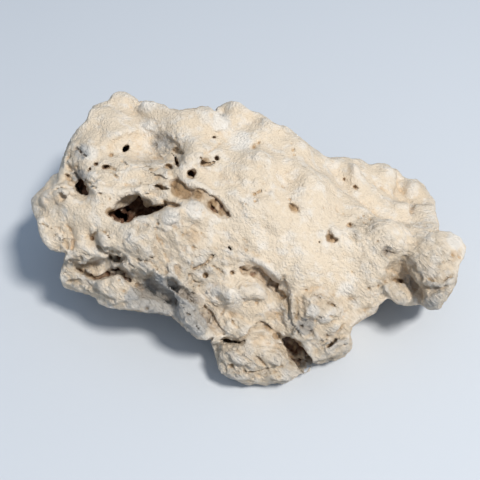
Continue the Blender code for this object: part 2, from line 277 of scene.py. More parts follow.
# %% From points to squares of the picture
def picture_squares(spots):
    """Across and down squares that points are seen at, and how far off they are."""
    ray = spots - EYE
    away = ray @ LOOK
    half = PICTURE_SQUARES / 2
    return half + FOCUS_SQUARES * (ray @ RIGHT) / away, half - FOCUS_SQUARES * (ray @ UP) / away, away


def inside_line(spots, line):
    """Distance in millimetres outside a closed line drawn on the picture; below zero within it."""
    across, down, away = picture_squares(spots)
    corners = np.array(line, float)
    nearest = np.full(len(spots), FAR)
    within = np.zeros(len(spots), bool)
    for (x0, y0), (x1, y1) in zip(corners, np.roll(corners, -1, axis=0)):
        run_x, run_y = x1 - x0, y1 - y0
        along = np.clip(((across - x0) * run_x + (down - y0) * run_y) / (run_x ** 2 + run_y ** 2), 0, 1)
        nearest = np.minimum(nearest, np.hypot(across - x0 - along * run_x, down - y0 - along * run_y))
        if run_y:
            crosses = (y0 > down) != (y1 > down)
            within ^= crosses & (across < x0 + (down - y0) * run_x / run_y)
    return np.where(within, -nearest, nearest) * away / FOCUS_SQUARES


# %% [markdown]
# ## The true edge of the stone
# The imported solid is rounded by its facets, so its edge against the background lacks the small knobs and
# notches of the real one. The rim is swollen by a millimetre and then trimmed to a closed line, so the
# stone gets its own outline back.

# %% Outline, clockwise from the top left
OUTLINE = (
    (93, 106), (100, 103), (108, 101), (113, 94), (119, 91), (126, 92), (134, 97), (139, 103), (146, 101),
    (153, 102), (158, 104), (164, 105), (169, 109), (180, 111), (188, 109), (194, 109), (200, 107),
    (208, 107), (215, 112), (218, 107), (224, 104), (230, 101), (239, 102), (245, 107), (250, 111),
    (259, 113), (267, 118), (275, 124), (287, 127), (296, 134), (302, 139), (308, 144), (319, 152),
    (324, 156), (330, 158), (344, 157), (351, 159), (360, 159), (370, 165), (379, 163), (387, 163),
    (397, 168), (403, 177), (410, 179), (418, 179), (424, 185), (430, 195), (435, 200), (435, 212),
    (439, 224), (438, 231), (450, 232), (460, 237), (466, 248), (464, 257), (459, 265), (456, 282),
    (449, 295), (443, 302), (439, 309), (428, 309), (420, 304), (413, 305), (404, 306), (397, 304),
    (391, 298), (385, 299), (379, 305), (376, 313), (369, 316), (360, 321), (352, 327), (350, 335),
    (352, 347), (345, 356), (337, 359), (334, 364), (326, 367), (316, 363), (312, 362), (310, 371),
    (305, 374), (300, 373), (294, 378), (286, 384), (278, 382), (265, 385), (255, 384), (246, 385),
    (236, 380), (228, 377), (221, 372), (217, 362), (214, 350), (211, 342), (214, 337), (205, 340),
    (197, 338), (188, 331), (180, 323), (171, 316), (160, 313), (148, 313), (136, 310), (120, 309),
    (108, 308), (99, 304), (96, 298), (88, 294), (74, 291), (64, 287), (60, 278), (62, 268), (65, 258),
    (67, 252), (60, 252), (50, 249), (43, 241), (39, 231), (37, 220), (32, 208), (31, 199), (38, 192),
    (46, 184), (52, 176), (59, 173), (61, 163), (65, 152), (69, 142), (77, 130), (86, 121), (89, 113),
)
print("outline:", len(OUTLINE), "points")

# %% Gap to the outline
EDGE_INSET = 0.001


def sight_lines(squares):
    """Lines of sight to squares counted from the middle of the picture, each one unit deep."""
    return LOOK + squares[:, :1] * RIGHT / FOCUS_SQUARES - squares[:, 1:] * UP / FOCUS_SQUARES


def outline_map():
    """Distance outside the outline, in squares, at each whole square of the picture."""
    squares = np.stack(np.meshgrid(*[np.arange(PICTURE_SQUARES + 1.0)] * 2, indexing="ij"), axis=-1)
    spots = EYE + CAMERA_DISTANCE * sight_lines(squares.reshape(-1, 2) - PICTURE_SQUARES / 2)
    return inside_line(spots, OUTLINE).reshape(squares.shape[:2]) * FOCUS_SQUARES / CAMERA_DISTANCE


EDGE_MAP = outline_map()


def edge_gap(spots):
    """Distance in millimetres outside the stone's outline."""
    across, down, away = picture_squares(spots)
    at = np.clip(np.stack([across, down], axis=1), 0, PICTURE_SQUARES - EDGE_INSET)
    base = at.astype(int)
    x, y = (at - base).T
    i, j = base.T
    near = EDGE_MAP[i, j] * (1 - x) * (1 - y) + EDGE_MAP[i + 1, j] * x * (1 - y)
    far = EDGE_MAP[i, j + 1] * (1 - x) * y + EDGE_MAP[i + 1, j + 1] * x * y
    return (near + far) * away / FOCUS_SQUARES


print("edge map:", EDGE_MAP.shape)

# %% Swell the rim and trim it
RIM_REACH = 3.5
RIM_BAND = 3.2
RIM_SWELL = 1.0
RIM_RAGGED = 0.45
RIM_GRAIN = 1.9
RIM_SEED = 3.3


def waves(spots, grain, seed):
    """Smooth noise between about -1 and 1 whose bumps are one grain across."""
    return np.array([noise.noise(p) for p in (spots / grain + seed).tolist()])


def trim(swollen_by):
    """Swells the rim and cuts away all that is outside the outline, with a ragged edge."""
    cells = np.argwhere(field < RIM_BAND)
    spots = box_low + STEP * cells
    gap = edge_gap(spots)
    outer = gap > -RIM_REACH
    cells = tuple(cells[outer].T)
    gap = gap[outer]
    swollen = field[cells] - swollen_by * np.clip(1 - np.abs(gap) / RIM_REACH, 0, 1)
    field[cells] = np.maximum(swollen, gap + RIM_RAGGED * waves(spots[outer], RIM_GRAIN, RIM_SEED))
    print("rim:", len(gap), "grid points trimmed")


field = field.astype(np.float32)
trim(RIM_SWELL)

# %% [markdown]
# ## Lumps, strata and chips
# Limestone weathers in rounded lumps with creases between them, which is what noise gives when it is
# folded at zero. The steep front also shows its bedding: thin flakes that all run the same way, down
# towards the right. Folded noise that is stretched along one direction makes them. Where the stone has
# broken, it shows chips, small flat faces that meet at sharp steps. A few broad patches say where the
# stone is crumbly. The rest is smooth and chalky.

# %% Where the stone is rough: (across, down, reach, strength)
ROUGH_PATCHES = (
    (50, 205, 18, 0.35), (60, 240, 20, 0.5), (76, 152, 16, 0.5), (76, 176, 12, 0.6), (80, 265, 20, 0.9),
    (85, 285, 20, 0.7), (118, 290, 24, 0.6), (145, 262, 28, 1.0), (150, 295, 30, 0.8), (150, 240, 30, 0.7),
    (185, 235, 30, 0.6), (180, 280, 26, 1.0), (195, 315, 30, 1.0), (210, 262, 22, 0.7), (235, 252, 22, 0.5),
    (240, 295, 26, 0.35), (245, 325, 26, 0.5), (240, 362, 30, 0.9), (285, 368, 26, 0.9),
    (292, 310, 20, 1.0), (305, 328, 20, 1.0), (325, 310, 26, 0.6), (330, 345, 26, 0.9), (365, 228, 14, 0.9),
    (385, 252, 18, 0.7), (425, 262, 30, 0.9), (440, 290, 24, 1.0), (395, 285, 20, 0.7), (360, 300, 22, 0.6),
    (165, 148, 18, 0.6), (105, 172, 18, 0.35), (155, 170, 20, 0.5), (200, 200, 16, 0.5),
    (205, 160, 12, 0.4), (280, 285, 16, 0.7), (106, 245, 18, 0.5),
)
HIDDEN_ROUGHNESS = 0.7
SHOWN_FROM = 0.3
SHOWN_SLOPE = 0.25


def patched(spots, facing, patches, hidden):
    """Strength of the patches at points: as listed where the view shows them, and one value elsewhere."""
    across, down, _ = picture_squares(spots)
    strength = np.zeros(len(spots))
    for x, y, reach, most in patches:
        away = ((across - x) ** 2 + (down - y) ** 2) / reach ** 2
        strength = np.maximum(strength, most * np.exp(-away ** 2))
    shown = np.clip((SHOWN_FROM - facing) / SHOWN_SLOPE, 0, 1)
    return strength * shown + hidden * (1 - shown)


print("rough patches:", len(ROUGH_PATCHES))

# %% Lumps, and flakes along the bedding
BEDDING_FALL = 0.9
BEDDING = (RIGHT - BEDDING_FALL * UP) / np.linalg.norm(RIGHT - BEDDING_FALL * UP)
FLAKE_STRETCH = 3.5
CHIP_STRETCH = 1.8


def lumps(spots, grain, seed):
    """Folded noise: rounded lumps near 1 with sharp creases near -1."""
    return 2 * np.abs(2 * waves(spots, grain, seed)) - 1


def squeezed(spots, stretch):
    """Points drawn together along the bedding, so that what is laid on them comes out stretched."""
    along = spots @ BEDDING
    return spots - np.outer(along * (1 - 1 / stretch), BEDDING)


def flakes(spots, grain, seed):
    """Folded noise drawn out along the bedding."""
    return lumps(squeezed(spots, FLAKE_STRETCH), grain, seed)


# %% Chips
CHIP_MARGIN = 0.2
CHIP_SPREAD = 437.5
CHIP_MIX = np.array([[127.1, 269.5, 113.5, 271.9, 246.1, 124.6], [311.7, 183.3, 271.9, 54.7, 419.2, 311.7],
                     [74.7, 246.1, 124.6, 364.2, 77.3, 211.3]], np.float32)


def chips(spots, size, seed):
    """Broken stone: each chip is a small flat face with a tilt of its own, and a little step round it.

    The middle and the tilt of a chip are dice thrown from its cell, as the loose digits of a sine. The
    mix is summed term by term, so that every machine rounds it the same way.
    """
    place = (squeezed(spots, CHIP_STRETCH) / size).astype(np.float32)
    home = np.floor(place - 0.5)
    nearest = np.full(len(spots), FAR, np.float32)
    height = np.zeros(len(spots), np.float32)
    for step in np.ndindex(2, 2, 2):
        cell = home + np.array(step, np.float32)
        mix = sum(cell[:, axis:axis + 1] * CHIP_MIX[axis] for axis in range(3))
        dice = np.sin(mix + seed) * CHIP_SPREAD
        dice -= np.floor(dice)
        away = place - cell - CHIP_MARGIN - (1 - 2 * CHIP_MARGIN) * dice[:, :3]
        gap = (away * away).sum(axis=1)
        tilted = (away * (dice[:, 3:] - 0.5)).sum(axis=1)
        closer = gap < nearest
        np.copyto(nearest, gap, where=closer)
        np.copyto(height, tilted, where=closer)
    return size * height


# %% Relief on the field: (what, grain, seed, height where smooth, height added where rough)
RELIEF = (
    (lumps, 12, 8.8, 0.22, 0),
    (lumps, 5.5, 17.3, 0.12, 0.12),
    (lumps, 2.8, 63.1, 0.05, 0.06),
    (flakes, 3.1, 41.9, 0, 0.30),
    (chips, 6.0, 3.3, 0.12, 0.40),
    (chips, 3.2, 21.7, 0.13, 0.37),
)
RELIEF_BAND = 2.0
BEND_GRAIN = 7
BEND_SEEDS = (2.2, 31.7, 55.1)
BEND_REACH = 2.2


def skin_spots(reach):
    """Grid points this close to the skin, and their places in millimetres."""
    cells = np.argwhere(np.abs(field) < reach)
    return tuple(cells.T), box_low + STEP * cells


def laid(layers, spots, rough):
    """Height of some layers of relief at points."""
    total = np.zeros(len(spots))
    for kind, grain, seed, smooth, crumbly in layers:
        total += (smooth + crumbly * rough) * kind(spots, grain, seed)
    return total


cells, spots = skin_spots(RELIEF_BAND)
rough = patched(spots, slopes(field, spots) @ LOOK, ROUGH_PATCHES, HIDDEN_ROUGHNESS)
bend = np.stack([waves(spots, BEND_GRAIN, seed) for seed in BEND_SEEDS], axis=1)
relief = laid(RELIEF, spots + BEND_REACH * bend, rough)
field[cells] -= relief.astype(np.float32)
print("relief: up to", round(float(np.abs(relief).max()), 2), "mm")

# %% [markdown]
# ## Carving tools
# Some tools work on a run of balls: one ball makes a pore or a lobe, a run along the skin makes a crack or
# a crease, and a run that goes inwards makes a bore. Others work inside a closed line, and raise a bed or
# sink an opening. Stone never breaks along a clean line, so every distance is disturbed with noise, and
# the edges and bottoms come out ragged.

# %% Touching the stone where it is seen
SIGHT_AHEAD = 80
SIGHT_START = CAMERA_DISTANCE - SIGHT_AHEAD
SIGHT_STEPS = 70
SIGHT_STRIDE = 0.6


def seen(squares):
    """Points of the skin under (across, down) squares of the picture, and the lines of sight to them."""
    rays = sight_lines(np.array(squares, float) - PICTURE_SQUARES / 2)
    rays /= np.linalg.norm(rays, axis=1)[:, None]
    at = EYE + rays * SIGHT_START
    found = at.copy()
    least = np.full(len(at), FAR)
    for _ in range(SIGHT_STEPS):
        gap = reading(field, at)
        closer = np.abs(gap) < least
        least[closer] = np.abs(gap)[closer]
        found[closer] = at[closer]
        at = at + rays * (SIGHT_STRIDE * gap)[:, None]
    return found, rays


# %% Distance from a run of balls
RAGGED_REACH = 2.0
RAGGED_GRAINS = (2.6, 1.2)
RAGGED_FINE = 0.5


def run_distance(spots, stops, radii):
    """Distance to a run of balls whose radius changes evenly from stop to stop."""
    if len(stops) == 1:
        return np.linalg.norm(spots - stops[0], axis=-1) - radii[0]
    nearest = np.full(spots.shape[:-1], FAR)
    for start, end, r0, r1 in zip(stops, stops[1:], radii, radii[1:]):
        way = end - start
        along = np.clip((spots - start) @ way / max(way @ way, TINY), 0, 1)
        gap = np.linalg.norm(spots - start - along[..., None] * way, axis=-1)
        nearest = np.minimum(nearest, gap - r0 - (r1 - r0) * along)
    return nearest


def ragged(distance, spots, strength):
    """The distance disturbed by two sizes of noise where it is close to the edge of the shape."""
    close = np.abs(distance) < RAGGED_REACH
    broad, fine = [(spots[close] / grain).tolist() for grain in RAGGED_GRAINS]
    rough = [noise.noise(p) + RAGGED_FINE * noise.noise(q) for p, q in zip(broad, fine)]
    distance = distance.copy()
    distance[close] += strength * np.array(rough)
    return distance


# %% Cutting and adding along a run of balls
SPARE_REACH = 2.5


def box_round(stops, reach):
    """The part of the grid round some points: its cells and their places."""
    first = np.maximum(np.floor((stops.min(axis=0) - reach - box_low) / STEP).astype(int), 0)
    last = np.minimum(np.ceil((stops.max(axis=0) + reach - box_low) / STEP).astype(int), field.shape)
    cells = tuple(slice(a, b) for a, b in zip(first, last))
    lines = [axis_lines[n][cells[n]] for n in range(3)]
    return cells, np.stack(np.meshgrid(*lines, indexing="ij"), axis=-1)


def soft_low(a, b, blend):
    """The lower of two distances, with the corner between them rounded off."""
    share = np.clip(0.5 + 0.5 * (b - a) / blend, 0, 1)
    return b + (a - b) * share - blend * share * (1 - share)


def merge(cells, region, adds, blend):
    """Adds a region to the stone or cuts it out."""
    if adds:
        field[cells] = soft_low(field[cells], region, blend)
    else:
        field[cells] = -soft_low(-field[cells], region, blend)


def work(stops, radii, adds, blend, strength):
    """Adds a run of balls to the stone or cuts it out."""
    stops = np.array(stops, float)
    cells, spots = box_round(stops, max(radii) + SPARE_REACH)
    merge(cells, ragged(run_distance(spots, stops, radii), spots, strength), adds, blend)


# %% Tools that use runs of balls
def touched(marks):
    """Places on the skin, outward directions there and radii of (across, down, radius) marks."""
    at, _ = seen([m[:2] for m in marks])
    return at, slopes(form, at), np.array([m[2] for m in marks])


def gouge(table, blend, strength):
    """Grooves and dents: one depth and (across, down, radius) marks."""
    for depth, marks in table.values():
        at, out, radii = touched(marks)
        work(at + out * (radii - depth)[:, None], radii, False, blend, strength)


def swell(table, blend, strength):
    """Lobes and nodules: one height and (across, down, radius) marks."""
    for height, marks in table.values():
        at, out, radii = touched(marks)
        work(at + out * (height - radii)[:, None], radii, True, blend, strength)


def bore(table, blend, strength):
    """Holes: (across, down, depth, radius) stops, carried in along the line of sight."""
    for stops in table.values():
        at, rays = seen([s[:2] for s in stops])
        middles = at + rays * np.array([s[2] for s in stops])[:, None]
        work(middles, [s[3] for s in stops], False, blend, strength)


# %% Tools that work inside a closed line
MOULD_REACH = 8
BOTTOM_SHIFT = 40.0
BOTTOM_ROUGHNESS = 0.42


def ringed(line, reach, strength):
    """The grid round a closed line on the skin: its cells, their places and their ragged gap to it."""
    at, _ = seen(line)
    cells, spots = box_round(at, reach)
    gap = inside_line(spots.reshape(-1, 3), line).reshape(spots.shape[:3])
    return cells, spots, ragged(gap, spots, strength)


def mould(table, strength):
    """Raises the stone inside each closed line, or sinks it, with a slope of one width at the line."""
    for height, slope, line in table.values():
        cells, _, gap = ringed(line, abs(height) + MOULD_REACH, strength)
        share = np.clip(-gap / slope, 0, 1)
        field[cells] -= height * share * share * (3 - 2 * share)


def raise_slabs(table, blend, strength):
    """Adds a slab of one height inside each closed line."""
    for height, line in table.values():
        cells, _, gap = ringed(line, height + SPARE_REACH, strength)
        merge(cells, np.maximum(gap, form[cells] - height), True, blend)


def sink(table, blend, strength):
    """Cuts an opening of one depth, with a ragged bottom, inside each closed line."""
    for depth, line in table.values():
        cells, spots, gap = ringed(line, depth + SPARE_REACH, strength)
        bottom = ragged(-form[cells] - depth, spots + BOTTOM_SHIFT, BOTTOM_ROUGHNESS * depth)
        merge(cells, np.maximum(gap, bottom), False, blend)


# %% [markdown]
# ## Beds and slabs
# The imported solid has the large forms. What it leaves thin is filled first, with broad lumps. Then come
# the beds: parts of the top and front that stand a millimetre or two above what is round them, or below
# it, with a slope as an edge. Last, where a harder bed has lasted, it stands up as a slab with a clear
# edge. The tools measure heights and depths from `form`, a copy of the field that is renewed in between.

# %% Broad lumps: height, (across, down, radius) marks
FILLS = {
    "under rim": (4.5, ((138, 302, 5.5), (150, 304, 5.5), (162, 305, 5.5), (172, 311, 4.5))),
    "neck": (2.6, ((216, 330, 5.0), (230, 332, 6.0), (244, 331, 5.0))),
    "arm root": (4.4, ((394, 240, 8.0), (407, 243, 9.0), (421, 246, 9.0), (434, 248, 8.0))),
    "arm saddle": (3.6, ((422, 250, 7.0), (423, 261, 7.0), (427, 273, 6.5), (431, 285, 5.5))),
    "arm end": (1.2, ((448, 280, 6.0), (438, 294, 5.0))),
}
form = field.copy()
swell(FILLS, blend=3.0, strength=0.6)
print("broad lumps:", len(FILLS))

# %% Beds: height, width of the slope, closed line
BEDS = {
    "back bed": (1.4, 3.4, ((130, 112), (144, 122), (160, 132), (173, 140), (184, 150), (194, 148),
        (206, 144), (218, 132), (224, 108), (205, 92), (180, 88), (150, 86), (128, 88))),
    "bowl": (-1.6, 3.0, ((112, 134), (128, 130), (144, 128), (158, 133), (170, 139), (180, 147), (184, 156),
        (178, 165), (164, 165), (148, 164), (134, 166), (120, 160), (106, 156), (102, 146))),
    "step bed": (1.0, 1.6, ((86, 172), (100, 169), (114, 170), (124, 160), (134, 165), (150, 165),
        (166, 164), (174, 172), (170, 190), (150, 194), (120, 196), (96, 196), (84, 186))),
    "shoulder": (1.0, 6.0, ((90, 118), (110, 102), (130, 102), (140, 122), (138, 146), (118, 154),
        (96, 144))),
    "left bank": (1.2, 4.0, ((74, 232), (90, 224), (106, 228), (114, 246), (108, 260), (86, 264),
        (72, 252))),
    "dome": (-1.1, 6.0, ((236, 156), (250, 146), (268, 152), (276, 172), (268, 190), (250, 194),
        (238, 180))),
    "right bulge": (-0.9, 9.0, ((280, 184), (296, 160), (326, 160), (350, 178), (356, 204), (334, 222),
        (304, 218), (286, 204))),
    "popcorn a": (0.6, 3.6, ((370, 172), (386, 160), (400, 172), (400, 192), (386, 200), (372, 190))),
    "popcorn b": (0.6, 3.6, ((396, 184), (412, 176), (428, 190), (424, 206), (408, 210), (396, 200))),
    "popcorn c": (0.8, 4.5, ((412, 206), (430, 196), (444, 212), (440, 230), (418, 230))),
    "popcorn d": (0.5, 3.6, ((336, 164), (354, 156), (370, 166), (370, 184), (354, 190), (338, 180))),
    "belly": (2.6, 5.0, ((214, 292), (222, 280), (240, 276), (262, 280), (278, 294), (280, 312), (268, 326),
        (244, 326), (222, 312))),
    "belly low": (1.4, 3.5, ((220, 316), (240, 312), (264, 320), (272, 334), (250, 340), (224, 336))),
    "spur top": (1.5, 2.0, ((160, 264), (172, 260), (188, 272), (204, 296), (218, 324), (208, 322),
        (192, 302), (174, 284))),
    "under crest": (-2.4, 2.0, ((122, 272), (131, 281), (143, 283), (151, 274), (158, 286), (170, 294),
        (182, 305), (172, 306), (152, 302), (139, 300), (136, 292))),
    "crest ledge": (1.6, 1.8, ((118, 262), (131, 258), (150, 262), (166, 274), (184, 294), (196, 312),
        (186, 308), (171, 295), (158, 287), (151, 275), (143, 284), (131, 281), (122, 272))),
    "crest white": (0.9, 2.8, ((184, 206), (194, 201), (206, 204), (212, 214), (208, 224), (194, 226),
        (184, 218))),
    "lip white": (0.7, 2.4, ((158, 218), (168, 212), (178, 214), (180, 224), (170, 230), (160, 228))),
    "wing valley": (-2.0, 1.6, ((62, 172), (70, 170), (80, 184), (88, 200), (78, 198), (68, 186))),
    "wing notch": (-1.6, 1.4, ((66, 224), (72, 226), (78, 240), (74, 254), (68, 252), (70, 240))),
    "brow edge": (1.1, 2.6, ((206, 250), (228, 242), (250, 250), (264, 254), (280, 270), (288, 288),
        (278, 286), (264, 272), (252, 266), (236, 268), (212, 268))),
    "belly top": (0.7, 3.2, ((238, 279), (256, 277), (270, 286), (277, 298), (264, 304), (246, 302),
        (236, 292))),
    "arm hollow": (-0.3, 2.4, ((382, 270), (398, 258), (412, 262), (424, 284), (428, 300), (414, 300),
        (404, 282), (390, 280))),
    "column cap": (1.8, 3.4, ((300, 294), (318, 286), (340, 294), (350, 308), (340, 322), (318, 322),
        (304, 316))),
    "column foot": (1.8, 2.6, ((312, 344), (332, 334), (352, 334), (354, 352), (336, 362), (318, 360))),
    "foot top": (1.6, 4.0, ((216, 344), (240, 344), (266, 342), (284, 350), (290, 366), (262, 374),
        (232, 368), (218, 358))),
}
mould(BEDS, strength=0.9)
form = field.copy()
print("beds:", len(BEDS))

# %% Slabs: height, closed line
SLABS = {
    "bowl bank": (1.0, ((141, 125), (149, 121), (161, 127), (172, 136), (181, 145), (170, 141), (158, 136),
        (148, 131))),
    "bowl bank low": (0.8, ((152, 140), (162, 141), (172, 146), (176, 150), (166, 148), (157, 145))),
    "bowl tongue": (0.9, ((157, 149), (162, 147), (170, 154), (175, 159), (166, 159), (160, 155))),
    "bowl right bank": (0.9, ((181, 146), (195, 143), (206, 149), (201, 160), (191, 167), (183, 160))),
    "step ledge": (0.8, ((88, 172), (100, 170), (114, 171), (128, 171), (150, 171), (158, 174), (150, 181),
        (120, 184), (98, 182))),
    "step fold": (0.8, ((124, 161), (134, 165), (147, 164), (160, 160), (172, 162), (160, 165), (148, 168),
        (134, 169))),
    "cave roof": (0.9, ((140, 195), (147, 192), (156, 196), (166, 202), (158, 205), (150, 205),
        (145, 203))),
    "cave lip": (0.9, ((138, 219), (148, 217), (158, 213), (168, 209), (180, 208), (179, 221), (166, 230),
        (150, 226))),
    "left nodule": (1.4, ((95, 234), (101, 231), (108, 236), (109, 246), (113, 255), (106, 253),
        (99, 245))),
    "left arch": (0.8, ((86, 237), (90, 233), (97, 231), (104, 232), (98, 235), (91, 237))),
    "low lobe": (1.6, ((98, 279), (108, 276), (119, 272), (127, 281), (135, 291), (138, 299), (126, 301),
        (112, 304), (103, 297))),
    "low lobe left": (0.8, ((70, 284), (80, 283), (92, 289), (97, 293), (88, 293), (76, 290))),
    "wing scale": (0.9, ((54, 237), (60, 235), (66, 242), (67, 250), (60, 247))),
    "wing scale high": (0.7, ((37, 222), (44, 220), (51, 226), (44, 229))),
    "wing ridge": (0.7, ((34, 203), (46, 193), (60, 190), (72, 191), (60, 196), (46, 203))),
    "brow lip": (0.6, ((230, 262), (240, 257), (250, 261), (257, 257), (265, 264), (274, 272), (283, 281),
        (277, 283), (268, 277), (260, 269), (254, 265), (247, 268), (238, 266))),
    "crest shelf": (0.8, ((178, 240), (192, 232), (200, 238), (212, 240), (214, 250), (204, 262),
        (190, 266), (180, 256))),
    "spur strip": (1.3, ((164, 277), (170, 269), (182, 275), (196, 290), (212, 310), (205, 308), (190, 292),
        (176, 281))),
    "spur low strip": (1.0, ((174, 305), (184, 306), (196, 318), (207, 334), (198, 334), (184, 320))),
    "belly knob": (0.8, ((212, 290), (222, 284), (232, 290), (230, 302), (220, 306), (212, 300))),
    "belly foot bulge": (0.7, ((226, 318), (240, 318), (252, 326), (250, 336), (236, 338), (224, 330))),
    "rib a": (0.9, ((283, 300), (286, 299), (289, 308), (289, 320), (285, 318))),
    "rib b": (1.1, ((291, 298), (296, 300), (296, 312), (294, 320), (291, 314))),
    "rib c": (0.9, ((299, 300), (304, 306), (306, 318), (300, 318))),
    "column cap": (0.8, ((302, 296), (316, 292), (334, 300), (344, 306), (338, 318), (322, 318),
        (306, 316))),
    "column bump": (1.3, ((322, 345), (334, 341), (347, 338), (351, 347), (344, 354), (334, 357),
        (326, 352))),
    "foot ridge": (0.9, ((220, 345), (234, 345), (248, 356), (262, 366), (250, 370), (234, 362))),
    "foot right ridge": (0.9, ((262, 346), (276, 348), (288, 360), (298, 370), (286, 372), (270, 360))),
    "foot sole edge": (0.7, ((224, 372), (240, 376), (262, 377), (284, 372), (296, 371), (286, 381),
        (258, 383), (236, 379))),
    "arm nodule": (1.6, ((382, 285), (392, 283), (404, 284), (410, 291), (412, 300), (404, 305),
        (392, 301))),
    "arm shelf": (0.9, ((386, 270), (394, 268), (404, 270), (410, 276), (398, 277), (388, 277))),
    "arm low scale": (0.9, ((428, 282), (442, 280), (454, 276), (452, 284), (438, 290))),
    "arm end scale": (0.9, ((424, 298), (436, 294), (446, 292), (442, 302), (430, 306))),
    "dish ridge": (0.7, ((338, 232), (348, 227), (358, 229), (368, 238), (360, 240), (348, 235))),
    "rim white": (0.8, ((212, 118), (222, 117), (230, 122), (226, 129), (216, 131))),
}
raise_slabs(SLABS, blend=1.1, strength=0.45)
print("slabs:", len(SLABS))

# %% [markdown]
# ## Lobes and nodules
# The stone grew and dissolved in rounded lobes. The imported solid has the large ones. These are the small
# ones that stand out along the back rim, round the dome and on the front.

# %% Small lobes: height, (across, down, radius) marks
LOBES = {
    "rim middle": (0.5, ((235, 106, 3.6), (244, 110, 3.4))),
    "dome nodule": (0.9, ((256, 183, 2.6),)),
    "dimple nodule": (0.6, ((334, 231, 2.4),)),
    "arm nodule": (1.6, ((392, 288, 3.2), (404, 296, 2.8))),
    "arm knuckle": (1.0, ((395, 272, 2.4),)),
    "wing knob": (0.9, ((45, 197, 3.0),)),
    "wing knob b": (0.8, ((41, 221, 3.0), (50, 240, 2.6))),
    "left step": (1.0, ((105, 243, 3.0),)),
    "under lobe": (1.2, ((103, 281, 4.0),)),
    "low fringe": (0.9, ((92, 297, 2.0), (112, 305, 2.0), (135, 308, 2.0))),
    "spur chip": (1.0, ((176, 303, 2.6), (188, 322, 2.2))),
    "foot crest": (0.9, ((240, 348, 3.0), (262, 352, 3.0), (279, 360, 2.6))),
    "foot toe": (0.8, ((287, 375, 2.4), (305, 366, 2.2))),
    "right toe": (0.9, ((318, 358, 2.4), (336, 353, 2.4))),
    "column knob": (0.9, ((327, 318, 3.0),)),
    "fringe a": (0.8, ((371, 310, 1.8), (380, 302, 1.6))),
}
swell(LOBES, blend=1.2, strength=0.35)
print("lobes:", len(LOBES))

# %% [markdown]
# ## Creases
# Soft valleys run between the lobes. They are shallow, wide runs with a soft edge.

# %% Creases between the lobes: depth, (across, down, radius) marks
CREASES = {
    "dome ring": (0.6, ((236, 176, 1.2), (240, 188, 1.3), (250, 196, 1.3), (266, 194, 1.1),
        (271, 188, 0.9))),
    "dome ring left": (0.7, ((217, 163, 1.1), (222, 177, 1.3), (234, 185, 1.2))),
    "right crease": (0.7, ((288, 172, 0.9), (284, 186, 1.0))),
    "bulge crease": (0.7, ((329, 166, 1.2), (346, 182, 1.4), (352, 196, 1.2))),
    "popcorn crease a": (0.5, ((397, 175, 1.0), (399, 188, 1.2), (392, 200, 1.0))),
    "popcorn crease b": (0.5, ((400, 190, 1.0), (410, 202, 1.2), (412, 214, 1.0))),
    "popcorn crease c": (0.4, ((360, 162, 1.0), (362, 176, 1.1), (372, 186, 1.0))),
    "popcorn crease d": (0.4, ((376, 184, 1.0), (388, 192, 1.1), (392, 204, 1.0))),
    "rim crease": (0.8, ((212, 115, 0.9), (214, 124, 1.0), (207, 133, 0.9))),
    "bowl lines": (0.8, ((150, 133, 1.0), (166, 139, 1.1), (178, 146, 0.9))),
    "bowl lines b": (0.7, ((158, 150, 1.0), (166, 152, 1.1), (173, 158, 0.9))),
    "shoulder crease": (0.5, ((96, 143, 1.0), (101, 136, 1.0), (98, 124, 0.9))),
    "wing crease": (1.2, ((69, 168, 1.2), (78, 178, 1.5), (88, 190, 1.0))),
    "wing shade": (0.7, ((48, 203, 1.6), (60, 198, 1.8), (72, 192, 1.4))),
    "crest groove": (1.5, ((88, 234, 1.0), (97, 242, 1.2), (108, 250, 1.5), (118, 253, 1.0))),
    "crest groove b": (0.9, ((155, 244, 1.0), (158, 258, 1.2), (166, 272, 1.2))),
    "crest dent": (0.9, ((94, 236, 2.2),)),
    "front groove": (1.3, ((176, 267, 1.0), (184, 280, 1.4), (199, 293, 1.6), (208, 313, 1.4))),
    "brow groove": (1.0, ((232, 262, 1.2), (250, 264, 1.6), (268, 275, 1.6), (284, 293, 1.4))),
    "ridge groove": (0.7, ((286, 296, 1.2), (288, 315, 1.4), (290, 332, 1.6))),
    "ridge lines": (0.7, ((301, 297, 0.9), (303, 318, 1.0), (307, 336, 1.0))),
    "column groove": (0.7, ((322, 348, 0.8), (334, 336, 1.0), (348, 322, 1.0))),
    "arm groove": (0.9, ((386, 250, 1.6), (394, 256, 1.6))),
    "arm line a": (0.8, ((424, 272, 0.8), (432, 279, 1.0), (443, 280, 0.9), (452, 275, 0.8))),
    "arm line b": (0.8, ((418, 286, 0.9), (432, 290, 1.1), (448, 287, 0.9))),
    "arm line c": (1.0, ((404, 258, 1.0), (412, 266, 1.2), (420, 278, 1.0))),
    "foot groove": (1.1, ((225, 340, 1.0), (241, 342, 1.2), (252, 330, 0.9), (266, 326, 0.9))),
    "foot groove b": (0.9, ((266, 326, 0.8), (276, 334, 1.0), (286, 340, 1.2))),
    "foot line": (0.5, ((256, 358, 0.9), (268, 365, 1.1), (284, 366, 0.9))),
    "belly wrinkle": (0.4, ((244, 302, 0.9), (254, 299, 1.1), (264, 303, 0.9))),
    "undercut line": (1.2, ((72, 260, 0.9), (84, 266, 1.2), (94, 265, 1.1), (108, 259, 1.1),
        (118, 266, 1.2))),
    "low ledge line": (1.0, ((70, 282, 0.8), (82, 281, 1.1), (97, 292, 1.0), (112, 301, 0.9))),
    "lobe dimple": (0.7, ((107, 283, 1.0), (109, 278, 0.9))),
}
gouge(CREASES, blend=0.7, strength=0.30)
print("creases:", len(CREASES))

# %% [markdown]
# ## Slits and cracks
# Under the ledges and along the beds the stone has parted. A slit is a narrow, deep run, cut with the same
# tool as the creases but with hardly any rounding.

